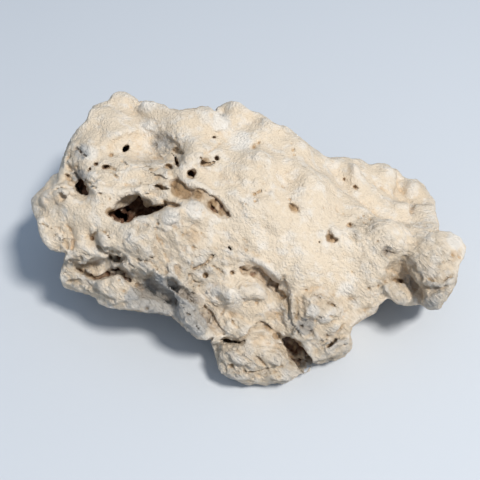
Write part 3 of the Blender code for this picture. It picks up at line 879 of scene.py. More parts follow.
# %% Slits and cracks: depth, (across, down, radius) marks
SLITS = {
    "ledge slit a": (1.2, ((108, 167, 0.6), (114, 169, 0.5), (118, 172, 0.4))),
    "ledge slit b": (0.9, ((122, 160, 0.5), (127, 164, 0.5), (133, 167, 0.5), (145, 166, 0.5))),
    "ledge slit c": (1.0, ((145, 166, 0.5), (152, 170, 0.5), (160, 166, 0.5), (168, 167, 0.8))),
    "bright line": (0.7, ((112, 172, 0.4), (120, 180, 0.5), (132, 186, 0.5), (140, 186, 0.4))),
    "cave crack b": (1.2, ((146, 194, 0.5), (155, 196, 0.6), (164, 202, 0.6))),
    "dome crack": (1.2, ((254, 194, 0.5), (261, 190, 0.5), (266, 190, 0.4))),
    "dome crack b": (0.8, ((237, 205, 0.4), (243, 202, 0.5))),
    "crest crack": (1.3, ((193, 269, 0.5), (205, 264, 0.6), (213, 256, 0.6), (216, 250, 0.4))),
    "wing slit": (1.4, ((55, 236, 0.5), (62, 243, 0.6), (67, 249, 0.6))),
    "neck slit b": (1.6, ((253, 324, 0.4), (264, 323, 0.5), (272, 329, 0.6), (281, 339, 0.9))),
    "spur line": (1.8, ((188, 278, 0.5), (192, 284, 0.6), (197, 292, 0.5))),
    "spur line b": (1.4, ((176, 303, 0.5), (188, 314, 0.6), (200, 330, 0.5))),
    "ridge line": (0.9, ((288, 300, 0.5), (288, 310, 0.6), (288, 318, 0.6), (294, 328, 0.5),
        (301, 336, 0.5))),
    "ridge line b": (0.7, ((297, 298, 0.5), (298, 310, 0.5), (296, 318, 0.5))),
    "belly line": (0.8, ((244, 304, 0.6), (250, 301, 0.6), (258, 301, 0.5), (266, 306, 0.5),
        (273, 313, 0.6))),
    "belly line b": (0.9, ((222, 296, 0.4), (226, 303, 0.5), (224, 310, 0.4), (221, 314, 0.4))),
    "belly line c": (0.9, ((231, 318, 0.4), (234, 324, 0.5), (238, 328, 0.4))),
    "brow cross": (0.8, ((213, 266, 0.4), (220, 271, 0.4), (226, 276, 0.4))),
    "foot line": (1.0, ((255, 352, 0.4), (259, 359, 0.6), (265, 366, 0.6))),
    "foot line b": (0.6, ((235, 348, 0.5), (242, 354, 0.5), (250, 362, 0.5))),
    "foot line c": (1.0, ((244, 372, 0.6), (258, 372, 0.6), (272, 368, 0.6), (284, 366, 0.6))),
    "left arch line": (1.2, ((87, 238, 0.5), (92, 235, 0.6), (97, 232, 0.5), (104, 232, 0.5),
        (109, 238, 0.5))),
    "left groove line": (1.2, ((97, 246, 0.5), (102, 251, 0.6), (108, 255, 0.7))),
    "flank streak": (1.3, ((75, 148, 0.5), (80, 151, 0.7), (86, 156, 0.6))),
    "flank streak b": (1.4, ((71, 171, 0.5), (76, 175, 0.7), (81, 181, 0.8))),
    "flank streak c": (1.2, ((84, 180, 0.5), (92, 187, 0.6), (100, 194, 0.6))),
    "dome line": (0.7, ((209, 152, 0.4), (215, 147, 0.5), (220, 143, 0.4))),
    "wing line": (1.4, ((61, 236, 0.5), (66, 242, 0.6), (68, 248, 0.5))),
    "wing line b": (1.0, ((38, 223, 0.4), (44, 224, 0.5), (51, 228, 0.4))),
    "wing line c": (1.0, ((56, 189, 0.5), (64, 186, 0.6), (71, 188, 0.5))),
    "column line": (0.8, ((338, 318, 0.4), (330, 317, 0.4), (320, 318, 0.4))),
    "arm slit b": (1.2, ((378, 287, 0.5), (384, 285, 0.6))),
    "arm crack": (0.9, ((424, 275, 0.4), (431, 281, 0.5), (441, 283, 0.5), (452, 277, 0.4))),
    "orange crack": (1.1, ((306, 290, 0.4), (318, 296, 0.4), (330, 304, 0.4), (337, 306, 0.4))),
    "low slit": (1.0, ((76, 289, 0.5), (86, 291, 0.6), (96, 299, 0.5))),
}
gouge(SLITS, blend=0.3, strength=0.30)
print("slits:", len(SLITS))

# %% [markdown]
# ## Openings
# The mouths of the holes, undercuts and crevices have shapes of their own. Each is a closed line, sunk to
# one depth below the skin with a ragged bottom. Openings keep a sharp edge and hollows get a soft one.

# %% Openings: depth, closed line
OPENINGS = {
    "cave mouth": (4.0, ((107, 212), (113, 210), (121, 208), (128, 205), (133, 201), (137, 197), (139, 195),
        (142, 199), (146, 207), (152, 206), (158, 205), (167, 205), (161, 210), (154, 213), (147, 216),
        (139, 216), (134, 219), (130, 223), (122, 224), (115, 221), (109, 216))),
    "eye": (4.0, ((76, 182), (80, 179), (85, 183), (88, 189), (89, 195), (83, 196), (77, 192), (75, 187))),
    "keyhole": (4.0, ((122, 150), (124, 146), (129, 144), (130, 148), (127, 152), (123, 153))),
    "round hole": (1.8, ((187, 172), (190, 170), (195, 169), (196, 172), (195, 177), (191, 180),
        (187, 178))),
    "step slit": (2.2, ((199, 163), (203, 160), (207, 163), (211, 162), (215, 160), (217, 162), (211, 165),
        (206, 167), (200, 167))),
    "bowl slit": (3.5, ((172, 154), (176, 156), (178, 161), (180, 166), (177, 168), (175, 162))),
    "bowl notch": (2.0, ((172, 150), (177, 147), (182, 151), (184, 154), (177, 154))),
    "bowl pit": (2.4, ((163, 168), (167, 164), (171, 165), (173, 169), (168, 169))),
    "ledge pore": (2.5, ((93, 164), (97, 162), (99, 165), (94, 167))),
    "ledge slit": (3.0, ((101, 166), (105, 165), (110, 166), (109, 169), (103, 169))),
    "ledge nick": (1.8, ((87, 170), (91, 167), (91, 170), (88, 172))),
    "lower slit": (2.2, ((152, 185), (157, 184), (161, 186), (166, 187), (172, 190), (166, 190), (160, 189),
        (154, 187))),
    "crevice": (1.4, ((191, 192), (200, 190), (207, 194), (213, 200), (219, 206), (226, 214), (221, 214),
        (214, 208), (208, 201), (201, 196), (193, 195))),
    "crevice crack": (3.2, ((206, 199), (211, 203), (215, 209), (221, 215), (216, 214), (211, 209))),
    "crevice fork": (2.6, ((211, 195), (217, 199), (224, 206), (229, 214), (227, 216), (221, 209),
        (214, 201))),
    "roof crack": (2.6, ((162, 200), (168, 202), (175, 203), (181, 206), (174, 208), (167, 206))),
    "foot crack": (2.8, ((218, 339), (227, 338), (233, 340), (240, 341), (248, 339), (240, 344), (232, 343),
        (224, 342))),
    "foot gap": (3.2, ((281, 339), (287, 336), (294, 339), (301, 346), (308, 353), (313, 360), (310, 368),
        (305, 374), (300, 371), (295, 364), (289, 357), (287, 350))),
    "arm slit": (2.6, ((389, 280), (397, 278), (402, 280), (407, 279), (403, 283), (396, 283))),
    "column nick": (0.9, ((325, 347), (333, 341), (340, 337), (334, 344), (328, 349))),
    "right pit": (0.9, ((352, 187), (355, 185), (359, 188), (356, 190))),
    "rim spot": (1.4, ((211, 138), (213, 136), (217, 137), (214, 139))),
    "front pit": (2.2, ((202, 275), (205, 272), (209, 274), (207, 278), (203, 278))),
    "brow pit": (2.0, ((228, 272), (232, 270), (236, 273), (232, 275))),
    "valley pit": (2.0, ((226, 246), (229, 246), (233, 250), (230, 251))),
}
sink(OPENINGS, blend=0.35, strength=0.35)
print("openings:", len(OPENINGS))

# %% Hollows: depth, closed line
HOLLOWS = {
    "channel": (2.0, ((171, 183), (178, 179), (184, 184), (190, 191), (188, 197), (182, 200), (177, 196),
        (175, 190))),
    "undercut": (3.0, ((76, 268), (84, 270), (92, 274), (99, 276), (106, 272), (113, 269), (119, 267),
        (126, 273), (132, 282), (126, 281), (119, 274), (112, 276), (104, 279), (95, 280), (86, 276))),
    "crevice": (1.2, ((186, 192), (196, 189), (207, 192), (216, 199), (226, 208), (231, 216), (222, 218),
        (212, 212), (203, 203), (196, 199), (188, 200))),
    "dark pocket": (2.2, ((108, 253), (112, 255), (118, 256), (126, 257), (124, 261), (116, 262),
        (110, 259))),
    "brow undercut": (2.6, ((238, 266), (243, 268), (249, 269), (255, 266), (261, 269), (266, 275),
        (272, 280), (280, 284), (276, 290), (268, 287), (261, 282), (255, 277), (248, 275), (242, 274))),
    "brow end": (1.4, ((275, 290), (281, 292), (288, 297), (282, 299), (277, 296))),
    "spur slit": (1.8, ((167, 279), (172, 278), (178, 284), (187, 291), (198, 300), (201, 305), (192, 302),
        (182, 297), (174, 291), (168, 285))),
    "spur valley": (1.8, ((204, 304), (210, 310), (217, 322), (226, 334), (218, 336), (209, 326),
        (203, 314))),
    "arm hollow": (0.5, ((386, 269), (393, 265), (400, 260), (407, 261), (413, 266), (417, 274), (421, 284),
        (425, 296), (419, 299), (413, 292), (409, 283), (404, 279), (396, 279), (390, 276))),
    "dimple": (2.2, ((326, 232), (329, 229), (331, 234), (334, 238), (338, 240), (333, 242), (328, 241),
        (325, 237))),
    "tan dimple": (1.2, ((288, 203), (292, 205), (297, 208), (298, 211), (292, 211), (289, 207))),
    "small arch": (1.4, ((347, 226), (349, 224), (353, 225), (351, 227))),
    "ring pit": (0.9, ((383, 252), (386, 249), (390, 252), (388, 255), (384, 254))),
    "grey gash": (0.9, ((296, 318), (302, 319), (311, 328), (314, 336), (306, 333), (299, 326))),
    "dome gash": (1.0, ((252, 148), (255, 145), (260, 142), (257, 148))),
}
sink(HOLLOWS, blend=1.6, strength=0.6)
print("hollows:", len(HOLLOWS))

# %% [markdown]
# ## Holes
# The deep holes are bores that widen inside, so little of the light that gets in comes out again; their brown
# is painted, partly stain and partly painted shade.
# One run of bores lies behind the back rim, and breaks up a notch that would otherwise be dead straight.

# %% Bores: (across, down, depth, radius) stops
BORES = {
    "rim back": ((217, 116, 7, 2.0), (212, 117, 11, 2.6), (219, 116, 16, 2.4), (213, 117, 21, 3.0),
        (218, 117, 27, 2.6), (212, 116, 33, 3.2), (217, 117, 40, 2.8)),
    "cave pocket": ((114, 214, 3, 2.2), (121, 215, 5, 3.8), (130, 212, 9, 5.2), (140, 208, 11, 5.4),
        (149, 208, 8, 3.8), (157, 209, 4, 2.0)),
    "cave low": ((117, 217, 3, 2.4), (126, 219, 7, 3.6), (136, 214, 9, 4.0)),
    "eye": ((82, 188, 2.0, 2.2), (84, 193, 5, 2.8)),
    "round hole": ((191, 174, 1, 1.4), (190, 174, 5, 1.3)),
    "far pore": ((217, 158, 0.2, 1.1), (217, 158, 3, 0.9)),
    "slit pore": ((177, 163, 0.4, 0.9), (177, 165, 3.5, 1.0)),
    "gap depth": ((291, 342, 3, 1.8), (299, 350, 5, 2.6), (304, 358, 4, 2.4)),
}
bore(BORES, blend=0.4, strength=0.30)
print("bores:", len(BORES))

# %% Pores: (across, down, radius, depth)
PORES = (
    (111, 155, 0.9, 1.2), (89, 169, 0.6, 1.0), (97, 173, 0.5, 0.7), (111, 172, 0.6, 0.7),
    (125, 168, 0.5, 0.6), (110, 199, 0.6, 1.2), (103, 204, 0.4, 0.6), (201, 158, 0.7, 1.3),
    (213, 137, 0.7, 0.9), (183, 136, 0.6, 0.8), (197, 137, 0.4, 0.6), (254, 147, 0.7, 1.0),
    (259, 143, 0.6, 0.7), (293, 150, 0.7, 0.9), (291, 144, 0.5, 0.6), (294, 155, 0.5, 0.7),
    (255, 201, 0.7, 1.2), (246, 204, 0.5, 0.9), (290, 199, 0.7, 0.7), (319, 242, 0.6, 1.6),
    (350, 225, 0.7, 1.2), (359, 218, 0.7, 0.9), (364, 216, 0.5, 0.8), (370, 219, 0.6, 1.0),
    (343, 214, 0.4, 0.6), (355, 235, 0.5, 0.6), (344, 179, 0.6, 1.0), (355, 187, 0.8, 0.8),
    (350, 184, 0.5, 0.7), (324, 208, 0.5, 0.6), (378, 241, 0.6, 0.7), (386, 252, 0.7, 0.8),
    (369, 288, 0.6, 1.0), (352, 272, 0.5, 0.5), (92, 238, 0.9, 1.6), (158, 224, 0.8, 1.0),
    (156, 229, 0.5, 0.6), (172, 231, 0.5, 0.6), (228, 247, 0.6, 1.0), (231, 249, 0.7, 1.2),
    (188, 263, 0.5, 0.7), (193, 247, 0.6, 0.8), (199, 286, 0.6, 0.9), (231, 366, 1.3, 1.2),
    (260, 317, 0.5, 0.5), (244, 300, 0.9, 0.8), (257, 303, 0.8, 0.7), (228, 300, 0.4, 0.5),
    (302, 325, 0.8, 1.0), (306, 321, 0.6, 0.9), (311, 331, 0.6, 0.8), (344, 345, 0.6, 1.0),
    (269, 262, 0.4, 0.7), (453, 255, 0.8, 0.7), (459, 257, 0.7, 0.9), (443, 262, 0.5, 0.5),
    (119, 280, 0.6, 0.9), (124, 291, 0.6, 0.8), (147, 308, 0.8, 1.2), (157, 290, 0.5, 0.7),
    (118, 258, 1.4, 1.3), (112, 252, 1.0, 1.0), (67, 226, 0.4, 0.5), (77, 167, 0.5, 0.5),
    (87, 148, 0.5, 0.8), (81, 152, 0.6, 0.8), (140, 103, 0.5, 0.8), (219, 105, 0.5, 0.8),
)
PORE_TAPER = 0.8
for across, down, radius, depth in PORES:
    at, rays = seen([(across, down)])
    deep = at + rays * depth
    work([at[0], deep[0]], [radius, PORE_TAPER * radius], adds=False, blend=0.25, strength=0.22)
print("pores:", len(PORES))

# %% [markdown]
# The sides that the view doesn't show are finished too. Their pores and small bores are scattered with
# a seeded dice, so the stone comes out the same each time.

# %% Pores on the back and the underside
HIDDEN_PORES = 150
HIDDEN_SEED = 11
HIDDEN_START = 150
FACING_AWAY = 0.12
ABOVE_FLOOR = 2
LARGE_SHARE = 0.12
LARGE_RADII = (1.2, 2.2)
SMALL_RADII = (0.5, 1.0)
DEPTH_IN_RADII = (1.5, 4.0)
LEAN = 0.4

dice = random.Random(HIDDEN_SEED)
middle = (np.array(cad_box[0]) + np.array(cad_box[1])) / 2 / MM
placed = 0
while placed < HIDDEN_PORES:
    way = Vector([dice.gauss(0, 1) for _ in range(3)]).normalized()
    hit, normal, _, _ = solid.ray_cast(Vector(middle) + way * HIDDEN_START, -way)
    away = hit is not None and normal.dot(Vector(LOOK)) > FACING_AWAY and hit.z > ABOVE_FLOOR
    if not away:
        continue
    large = dice.random() < LARGE_SHARE
    radius = dice.uniform(*(LARGE_RADII if large else SMALL_RADII))
    depth = radius * dice.uniform(*DEPTH_IN_RADII)
    lean = Vector([dice.gauss(0, LEAN) for _ in range(3)])
    start = hit - normal * float(reading(field, np.array([hit]))[0])
    end = start - (normal + lean).normalized() * depth
    work([start, end], [radius, PORE_TAPER * radius], adds=False, blend=0.4, strength=0.3)
    placed += 1
print("hidden pores:", placed)

# %% [markdown]
# ## Finding the skin
# In each grid cell that the skin passes through, one corner is placed at the mean of where the cell's
# edges are crossed, and the corners of neighbouring cells are joined by four-sided faces. The feet stay
# worn flat, so the field is cut at the floor.

# %% Trim again and stand on the floor
trim(0.0)
field = np.maximum(field, -axis_lines[2][None, None, :]).astype(np.float32)
print("cut at the floor")

# %% Corners of the skin
def crossed_cells(values):
    """Cells that the skin passes through, and a numbering of them over the whole grid."""
    size = np.array(values.shape) - 1
    below = values < 0
    count = np.zeros(size, np.int8)
    for i, j, k in np.ndindex(2, 2, 2):
        count += below[i:i + size[0], j:j + size[1], k:k + size[2]]
    crossed = np.argwhere((count > 0) & (count < 8))
    index = np.full(size, -1, np.int64)
    index[tuple(crossed.T)] = np.arange(len(crossed))
    return crossed, index


def skin_corners(values, crossed):
    """One corner in each crossed cell, at the mean of where its edges are crossed."""
    corners = [np.array(c) for c in np.ndindex(2, 2, 2)]
    at_corner = [values[tuple((crossed + c).T)] for c in corners]
    total = np.zeros((len(crossed), 3))
    hits = np.zeros(len(crossed))
    for i, a in enumerate(corners):
        for j, b in enumerate(corners):
            if j > i and np.abs(a - b).sum() == 1:
                fa, fb = at_corner[i], at_corner[j]
                split = (fa < 0) != (fb < 0)
                along = np.where(split, fa / np.where(split, fa - fb, 1), 0)
                total += np.where(split[:, None], a + along[:, None] * (b - a), 0)
                hits += split
    return box_low + STEP * (crossed + total / hits[:, None])


crossed, index = crossed_cells(field)
places = skin_corners(field, crossed)
print("skin:", len(places), "corners")

# %% Faces of the skin
CELLS_ROUND_EDGE = ((1, 1), (0, 1), (0, 0), (1, 0))


def skin_faces(values, index):
    """A four-sided face round each grid edge that the skin crosses, turned to face out."""
    below = values < 0
    faces = []
    for axis in range(3):
        first, second = [n for n in range(3) if n != axis]
        here = [slice(1, n) for n in index.shape]
        ahead = list(here)
        here[axis] = slice(0, index.shape[axis])
        ahead[axis] = slice(1, index.shape[axis] + 1)
        inner = below[tuple(here)]
        outer = below[tuple(ahead)]
        start = np.argwhere(inner != outer)
        flip = inner[tuple(start.T)] ^ (axis == 1)
        start[:, first] += 1
        start[:, second] += 1
        ring = []
        for one, two in CELLS_ROUND_EDGE:
            cell = start.copy()
            cell[:, first] -= one
            cell[:, second] -= two
            ring.append(index[tuple(cell.T)])
        quads = np.stack(ring, axis=-1)
        quads[~flip] = quads[~flip][:, ::-1]
        faces.append(quads)
    return np.concatenate(faces)


def largest_piece(faces, count):
    """The faces of the largest connected piece, so that no crumb is left floating."""
    label = np.arange(count)
    while True:
        lower = label.copy()
        least = label[faces].min(axis=1)
        for corner in faces.T:
            np.minimum.at(lower, corner, least)
        lower = lower[lower]
        if np.array_equal(lower, label):
            break
        label = lower
    names, sizes = np.unique(label[faces[:, 0]], return_counts=True)
    print("pieces:", len(names), "largest has", sizes.max(), "of", len(faces), "faces")
    return faces[label[faces[:, 0]] == names[sizes.argmax()]]


faces = largest_piece(skin_faces(field, index), len(places))
used, faces = np.unique(faces, return_inverse=True)
faces = faces.reshape(-1, 4)
places = places[used]
print("kept:", len(places), "corners,", len(faces), "faces")

# %% [markdown]
# ## Weathering the skin
# The chalky top has only a fine tooth. The front, the left end and the underside are crumbly: flakes and
# chips stand out by half a millimetre, and the walls of the cave are lumpy. The feet stay flat.

# %% Push the skin in and out
PUSH = (
    (waves, 2.2, 5.1, 0.07, 0),
    (lumps, 2.4, 9.3, 0.03, 0.12),
    (flakes, 1.5, 4.4, 0.01, 0.14),
    (chips, 1.9, 12.9, 0.06, 0.34),
)
WALL_DEPTH = 3.0
WALL_LUMPS = 0.45
WALL_GRAIN = 2.2
WALL_SEED = 71.3
FOOT_HEIGHT = 0.35

out = slopes(field, places)
rough = patched(places, out @ LOOK, ROUGH_PATCHES, HIDDEN_ROUGHNESS)
push = laid(PUSH, places, rough)
in_hole = np.clip(-reading(form, places) / WALL_DEPTH, 0, 1)
push += WALL_LUMPS * in_hole * lumps(places, WALL_GRAIN, WALL_SEED)
push[places[:, 2] < FOOT_HEIGHT] = 0
places = places + out * push[:, None]
places[:, 2] = np.maximum(places[:, 2], 0)
print("pushed by up to", round(float(np.abs(push).max()), 2), "mm")

# %% One object
stone_mesh = bpy.data.meshes.new("weathered stone")
stone_mesh.from_pydata((places * MM).tolist(), [], faces.tolist())
stone = bpy.data.objects.new("weathered_stone", stone_mesh)
bpy.context.scene.collection.objects.link(stone)
print("stone:", len(stone_mesh.polygons), "four-sided faces")

# %% Fewer triangles, first on the side that is turned away
MOST_TRIANGLES = 194000
HIDDEN_SHARE = 0.6
HIDDEN_FROM = 0.25

hidden = stone.vertex_groups.new(name="hidden side")
hidden.add(np.flatnonzero(out @ LOOK > HIDDEN_FROM).tolist(), 1.0, "REPLACE")


def triangle_count(mesh):
    """Triangles that a mesh's faces come to."""
    return sum(len(p.vertices) - 2 for p in mesh.polygons)


def thinned(ratio, group):
    """Leaves this share of the stone's triangles, the fewest where it is flattest."""
    thin = stone.modifiers.new("thin", "DECIMATE")
    thin.ratio = ratio
    thin.vertex_group = group
    graph = bpy.context.evaluated_depsgraph_get()
    graph.update()
    stone.data = bpy.data.meshes.new_from_object(stone.evaluated_get(graph))
    stone.modifiers.clear()
    print("stone:", triangle_count(stone.data), "triangles")


thinned(HIDDEN_SHARE, "hidden side")
thinned(MOST_TRIANGLES / triangle_count(stone.data), "")
for vertex in stone.data.vertices:
    vertex.co.z = max(vertex.co.z, 0)
stone.data.shade_smooth()

# %% [markdown]
# ## What the colours need to know
# A few numbers are measured at each corner and kept on the mesh: how deep it lies in a hollow, whether it
# is on a crest or in a crevice, how rough it is, and where the white, tan, grey and ochre patches are. The
# grey ones are mostly painted shade, and some of the tan and ochre ones are painted shade too.

# %% Hollows, crevices and folds
HOLLOW_DEPTH = 4.0
FINE_ROUNDS = 3
BROAD_ROUNDS = 12

corners = np.empty(3 * len(stone.data.vertices), np.float32)
stone.data.vertices.foreach_get("co", corners)
corners = corners.reshape(-1, 3) / MM
facing = slopes(field, corners) @ LOOK
fine_blur = blurred(field, FINE_ROUNDS)
broad_blur = blurred(fine_blur, BROAD_ROUNDS)
height = reading(field, corners)
measures = {
    "hollow": np.clip(-reading(form, corners) / HOLLOW_DEPTH, 0, 1),
    "crevice": height - reading(fine_blur, corners),
    "fold": height - reading(broad_blur, corners),
}

# %% Patches of colour: (across, down, reach, strength)
WHITE_PATCHES = (
    (90, 153, 9, 0.8), (148, 105, 9, 0.7), (150, 128, 12, 0.7), (221, 122, 11, 1.0), (205, 118, 9, 0.6),
    (241, 141, 13, 0.8), (171, 219, 11, 0.9), (195, 210, 10, 0.9), (142, 221, 9, 0.6), (456, 240, 10, 1.0),
    (346, 289, 9, 0.7), (313, 311, 8, 0.8), (322, 292, 9, 0.5), (214, 291, 9, 0.8), (268, 344, 8, 0.6),
    (128, 234, 8, 0.5), (432, 268, 9, 0.6), (200, 300, 8, 0.5), (60, 215, 10, 0.3),
)
# Tan patches: partly real tan and orange stain, partly painted shade in the crevice channel, at the brow and
# in the crescent beside the dimple's nodule.
TAN_AND_SHADE_PATCHES = (
    (102, 130, 13, 0.35), (193, 236, 10, 0.7), (197, 252, 8, 0.5), (344, 255, 9, 0.3), (272, 314, 9, 0.6),
    (275, 332, 8, 0.6), (320, 300, 10, 0.5), (257, 197, 9, 0.4), (230, 262, 10, 0.4), (47, 196, 12, 0.5),
    (60, 200, 10, 0.5), (455, 256, 8, 0.7), (180, 190, 10, 1.0), (198, 195, 8, 0.8), (214, 206, 9, 0.8),
    (225, 325, 10, 0.3), (95, 245, 9, 0.5), (295, 209, 6, 0.7), (333, 238, 8, 0.5), (106, 245, 8, 0.3),
    (240, 285, 12, 0.3), (206, 162, 8, 0.4),
)
# Mostly painted shade, in cool grey, on the undercut front, the spur's left side, the bowl's scarp, the
# foot's underside and round the arm hollow; those on the left flank are real grey streaks.
SHADE_GREY_PATCHES = (
    (82, 152, 10, 0.7), (80, 177, 9, 0.7), (163, 142, 14, 0.65), (305, 326, 11, 0.8), (75, 235, 9, 0.4),
    (386, 252, 8, 0.5), (440, 291, 13, 0.5), (408, 280, 11, 0.5), (432, 303, 11, 0.6), (235, 374, 12, 0.5),
    (160, 297, 24, 1.0), (136, 298, 13, 0.9), (184, 306, 17, 1.0), (197, 324, 13, 1.0), (128, 276, 8, 0.6),
    (112, 266, 9, 0.5), (175, 290, 9, 0.8),
)
# Partly real orange stain along cracks, partly painted shade at the cave mouth, under the brow, in the dimple
# and in the foot gap.
OCHRE_AND_SHADE_PATCHES = (
    (178, 188, 9, 1.0), (186, 194, 6, 0.9), (198, 194, 6, 0.7), (212, 204, 6, 0.8), (222, 212, 5, 0.8),
    (110, 212, 6, 0.8), (455, 257, 8, 0.25), (293, 207, 5, 0.7), (330, 237, 5, 0.7), (205, 162, 6, 0.6),
    (246, 269, 8, 0.5), (262, 277, 8, 0.5), (294, 346, 9, 0.6), (159, 187, 6, 0.6), (268, 328, 5, 0.6),
    (276, 336, 5, 0.7), (318, 296, 5, 0.5), (331, 303, 5, 0.5),
)
PATCHES = {
    "rough": (ROUGH_PATCHES, HIDDEN_ROUGHNESS),
    "white": (WHITE_PATCHES, 0.2),
    "tan": (TAN_AND_SHADE_PATCHES, 0.2),
    "grey": (SHADE_GREY_PATCHES, 0.3),
    "ochre": (OCHRE_AND_SHADE_PATCHES, 0.1),
}
for name, (patches, hidden_strength) in PATCHES.items():
    measures[name] = patched(corners, facing, patches, hidden_strength)
    print(name, "patches:", len(patches))

# %% Keep the measures on the mesh
for name, values in measures.items():
    layer = stone.data.attributes.new(name, "FLOAT", "POINT")
    layer.data.foreach_set("value", values.astype(np.float32))
    print(f"{name}: {values.min():.2f} to {values.max():.2f}, mean {values.mean():.2f}")

# %% [markdown]
# ## Limestone
# The colour starts from a warm cream that drifts a little over the stone. Crests wear to white and creases go
# tan.
# The tan and ochre patches are partly stain and partly painted shade, hollows take an ochre tint with depth
# and holes go brown to near black, both stain deepened by painted shade, and a cool grey paints the shade on
# the undercut front, the spur and round the arm hollow, with a few real grey streaks on the left flank.

# %% Helpers for node trees
def socket(group, name, way, value=None):
    """A number socket on a node group."""
    made = group.interface.new_socket(name=name, in_out=way, socket_type="NodeSocketFloat")
    if value is not None:
        made.default_value = value


def node(tree, kind, label, inputs=None, **settings):
    """A node with its settings made, and each input linked to a socket or set to a number or colour."""
    made = tree.nodes.new(kind)
    made.label = label
    for key, value in settings.items():
        setattr(made, key, value)
    for key, value in (inputs or {}).items():
        if isinstance(value, bpy.types.NodeSocket):
            tree.links.new(value, made.inputs[key])
        else:
            made.inputs[key].default_value = value
    return made


def maths(tree, label, operation, *values):
    """A sum on numbers."""
    return node(tree, "ShaderNodeMath", label, dict(enumerate(values)), operation=operation).outputs[0]


def vectors(tree, label, operation, *values):
    """A sum on vectors."""
    return node(tree, "ShaderNodeVectorMath", label, dict(enumerate(values)), operation=operation).outputs


def noise_texture(tree, label, where, scale, detail, roughness=0.5):
    """Clouds of noise at places."""
    inputs = {"Vector": where, "Scale": scale, "Detail": detail, "Roughness": roughness}
    return node(tree, "ShaderNodeTexNoise", label, inputs).outputs


# %% Speckle: a patch mask broken up by noise
def speckle_group():
    """Breaks a soft mask into natural-looking blotches."""
    group = bpy.data.node_groups.new("speckle", "ShaderNodeTree")
    socket(group, "Mask", "INPUT", 0.5)
    socket(group, "Size", "INPUT", 200.0)
    socket(group, "Sharpness", "INPUT", 0.25)
    socket(group, "Blotches", "OUTPUT")
    given = node(group, "NodeGroupInput", "given").outputs
    where = node(group, "ShaderNodeTexCoord", "where").outputs["Object"]
    grain = noise_texture(group, "blotch noise", where, given["Size"], detail=5, roughness=0.62)
    both = maths(group, "mask + noise", "ADD", given["Mask"], grain["Fac"])
    low = maths(group, "lower edge", "SUBTRACT", 1.0, given["Sharpness"])
    high = maths(group, "upper edge", "ADD", 1.0, given["Sharpness"])
    step = node(group, "ShaderNodeMapRange", "blotches", {"Value": both, "From Min": low, "From Max": high},
                interpolation_type="SMOOTHSTEP")
    node(group, "NodeGroupOutput", "result", {"Blotches": step.outputs["Result"]})
    return group


# %% Tooth: the finest relief
CHALK_SCALE = 1150
CHALK_HEIGHT = 0.9
FLAKE_SCALE = 760
FLAKE_HEIGHT = 2.6
CHIP_BEND = 0.0012
CHIP_SMOOTH = 80
CHIP_CRUMBLY = 560
CHIP_SIZES = (("chips", 520, 0.0), ("small chips", 1150, 0.37))


def chip_faces(group, label, where, scale, shift):
    """Height of small flat faces with a tilt of their own, as in the relief."""
    moved = vectors(group, label + " moved", "ADD", where, (shift,) * 3)["Vector"]
    chip = node(group, "ShaderNodeTexVoronoi", label, {"Vector": moved, "Scale": scale}).outputs
    away = vectors(group, label + " away", "SUBTRACT", moved, chip["Position"])["Vector"]
    tilt = vectors(group, label + " tilt", "SUBTRACT", chip["Color"], (0.5,) * 3)["Vector"]
    return vectors(group, label + " face", "DOT_PRODUCT", away, tilt)["Value"]


def tooth_group():
    """Height of the finest grain: chalk tooth everywhere, flakes and chips where the stone crumbles."""
    group = bpy.data.node_groups.new("tooth", "ShaderNodeTree")
    socket(group, "Crumble", "INPUT", 0.5)
    socket(group, "Height", "OUTPUT")
    crumble = node(group, "NodeGroupInput", "given").outputs["Crumble"]
    where = node(group, "ShaderNodeTexCoord", "where").outputs["Object"]

    along = vectors(group, "how far along the bedding", "DOT_PRODUCT", where, BEDDING)["Value"]
    share = maths(group, "part to take off", "MULTIPLY", along, 1 - 1 / FLAKE_STRETCH)
    shift = node(group, "ShaderNodeVectorMath", "shift along the bedding", {0: BEDDING, "Scale": share},
                 operation="SCALE").outputs["Vector"]
    drawn_in = vectors(group, "squeezed place", "SUBTRACT", where, shift)["Vector"]

    chalk = noise_texture(group, "chalk tooth", where, CHALK_SCALE, detail=3, roughness=0.6)
    flake = noise_texture(group, "thin flakes", drawn_in, FLAKE_SCALE, detail=4, roughness=0.6)["Fac"]
    folded = maths(group, "folded", "ABSOLUTE", maths(group, "centred", "SUBTRACT", flake, 0.5))
    thick = maths(group, "flake height", "MULTIPLY", folded, FLAKE_HEIGHT)
    strong = maths(group, "flakes where it crumbles", "MULTIPLY", thick, crumble)
    soft = maths(group, "chalk share", "MULTIPLY", chalk["Fac"], CHALK_HEIGHT)
    height = maths(group, "chalk + flakes", "ADD", soft, strong)

    chip_share = node(group, "ShaderNodeMapRange", "chip share",
                      {"Value": crumble, "To Min": CHIP_SMOOTH, "To Max": CHIP_CRUMBLY}).outputs["Result"]
    bent = vectors(group, "bent place", "MULTIPLY_ADD", chalk["Color"], (CHIP_BEND,) * 3, drawn_in)["Vector"]
    for label, scale, seed in CHIP_SIZES:
        face = chip_faces(group, label, bent, scale, seed)
        part = maths(group, label + " where it crumbles", "MULTIPLY", face, chip_share)
        height = maths(group, label + " joined", "ADD", height, part)
    node(group, "NodeGroupOutput", "result", {"Height": height})
    return group


# %% The material, a layer at a time
# The sockets of a Mix node that carry colour come after those for numbers and vectors.
MIX_UNDER = 6
MIX_OVER = 7
MIX_RESULT = 2


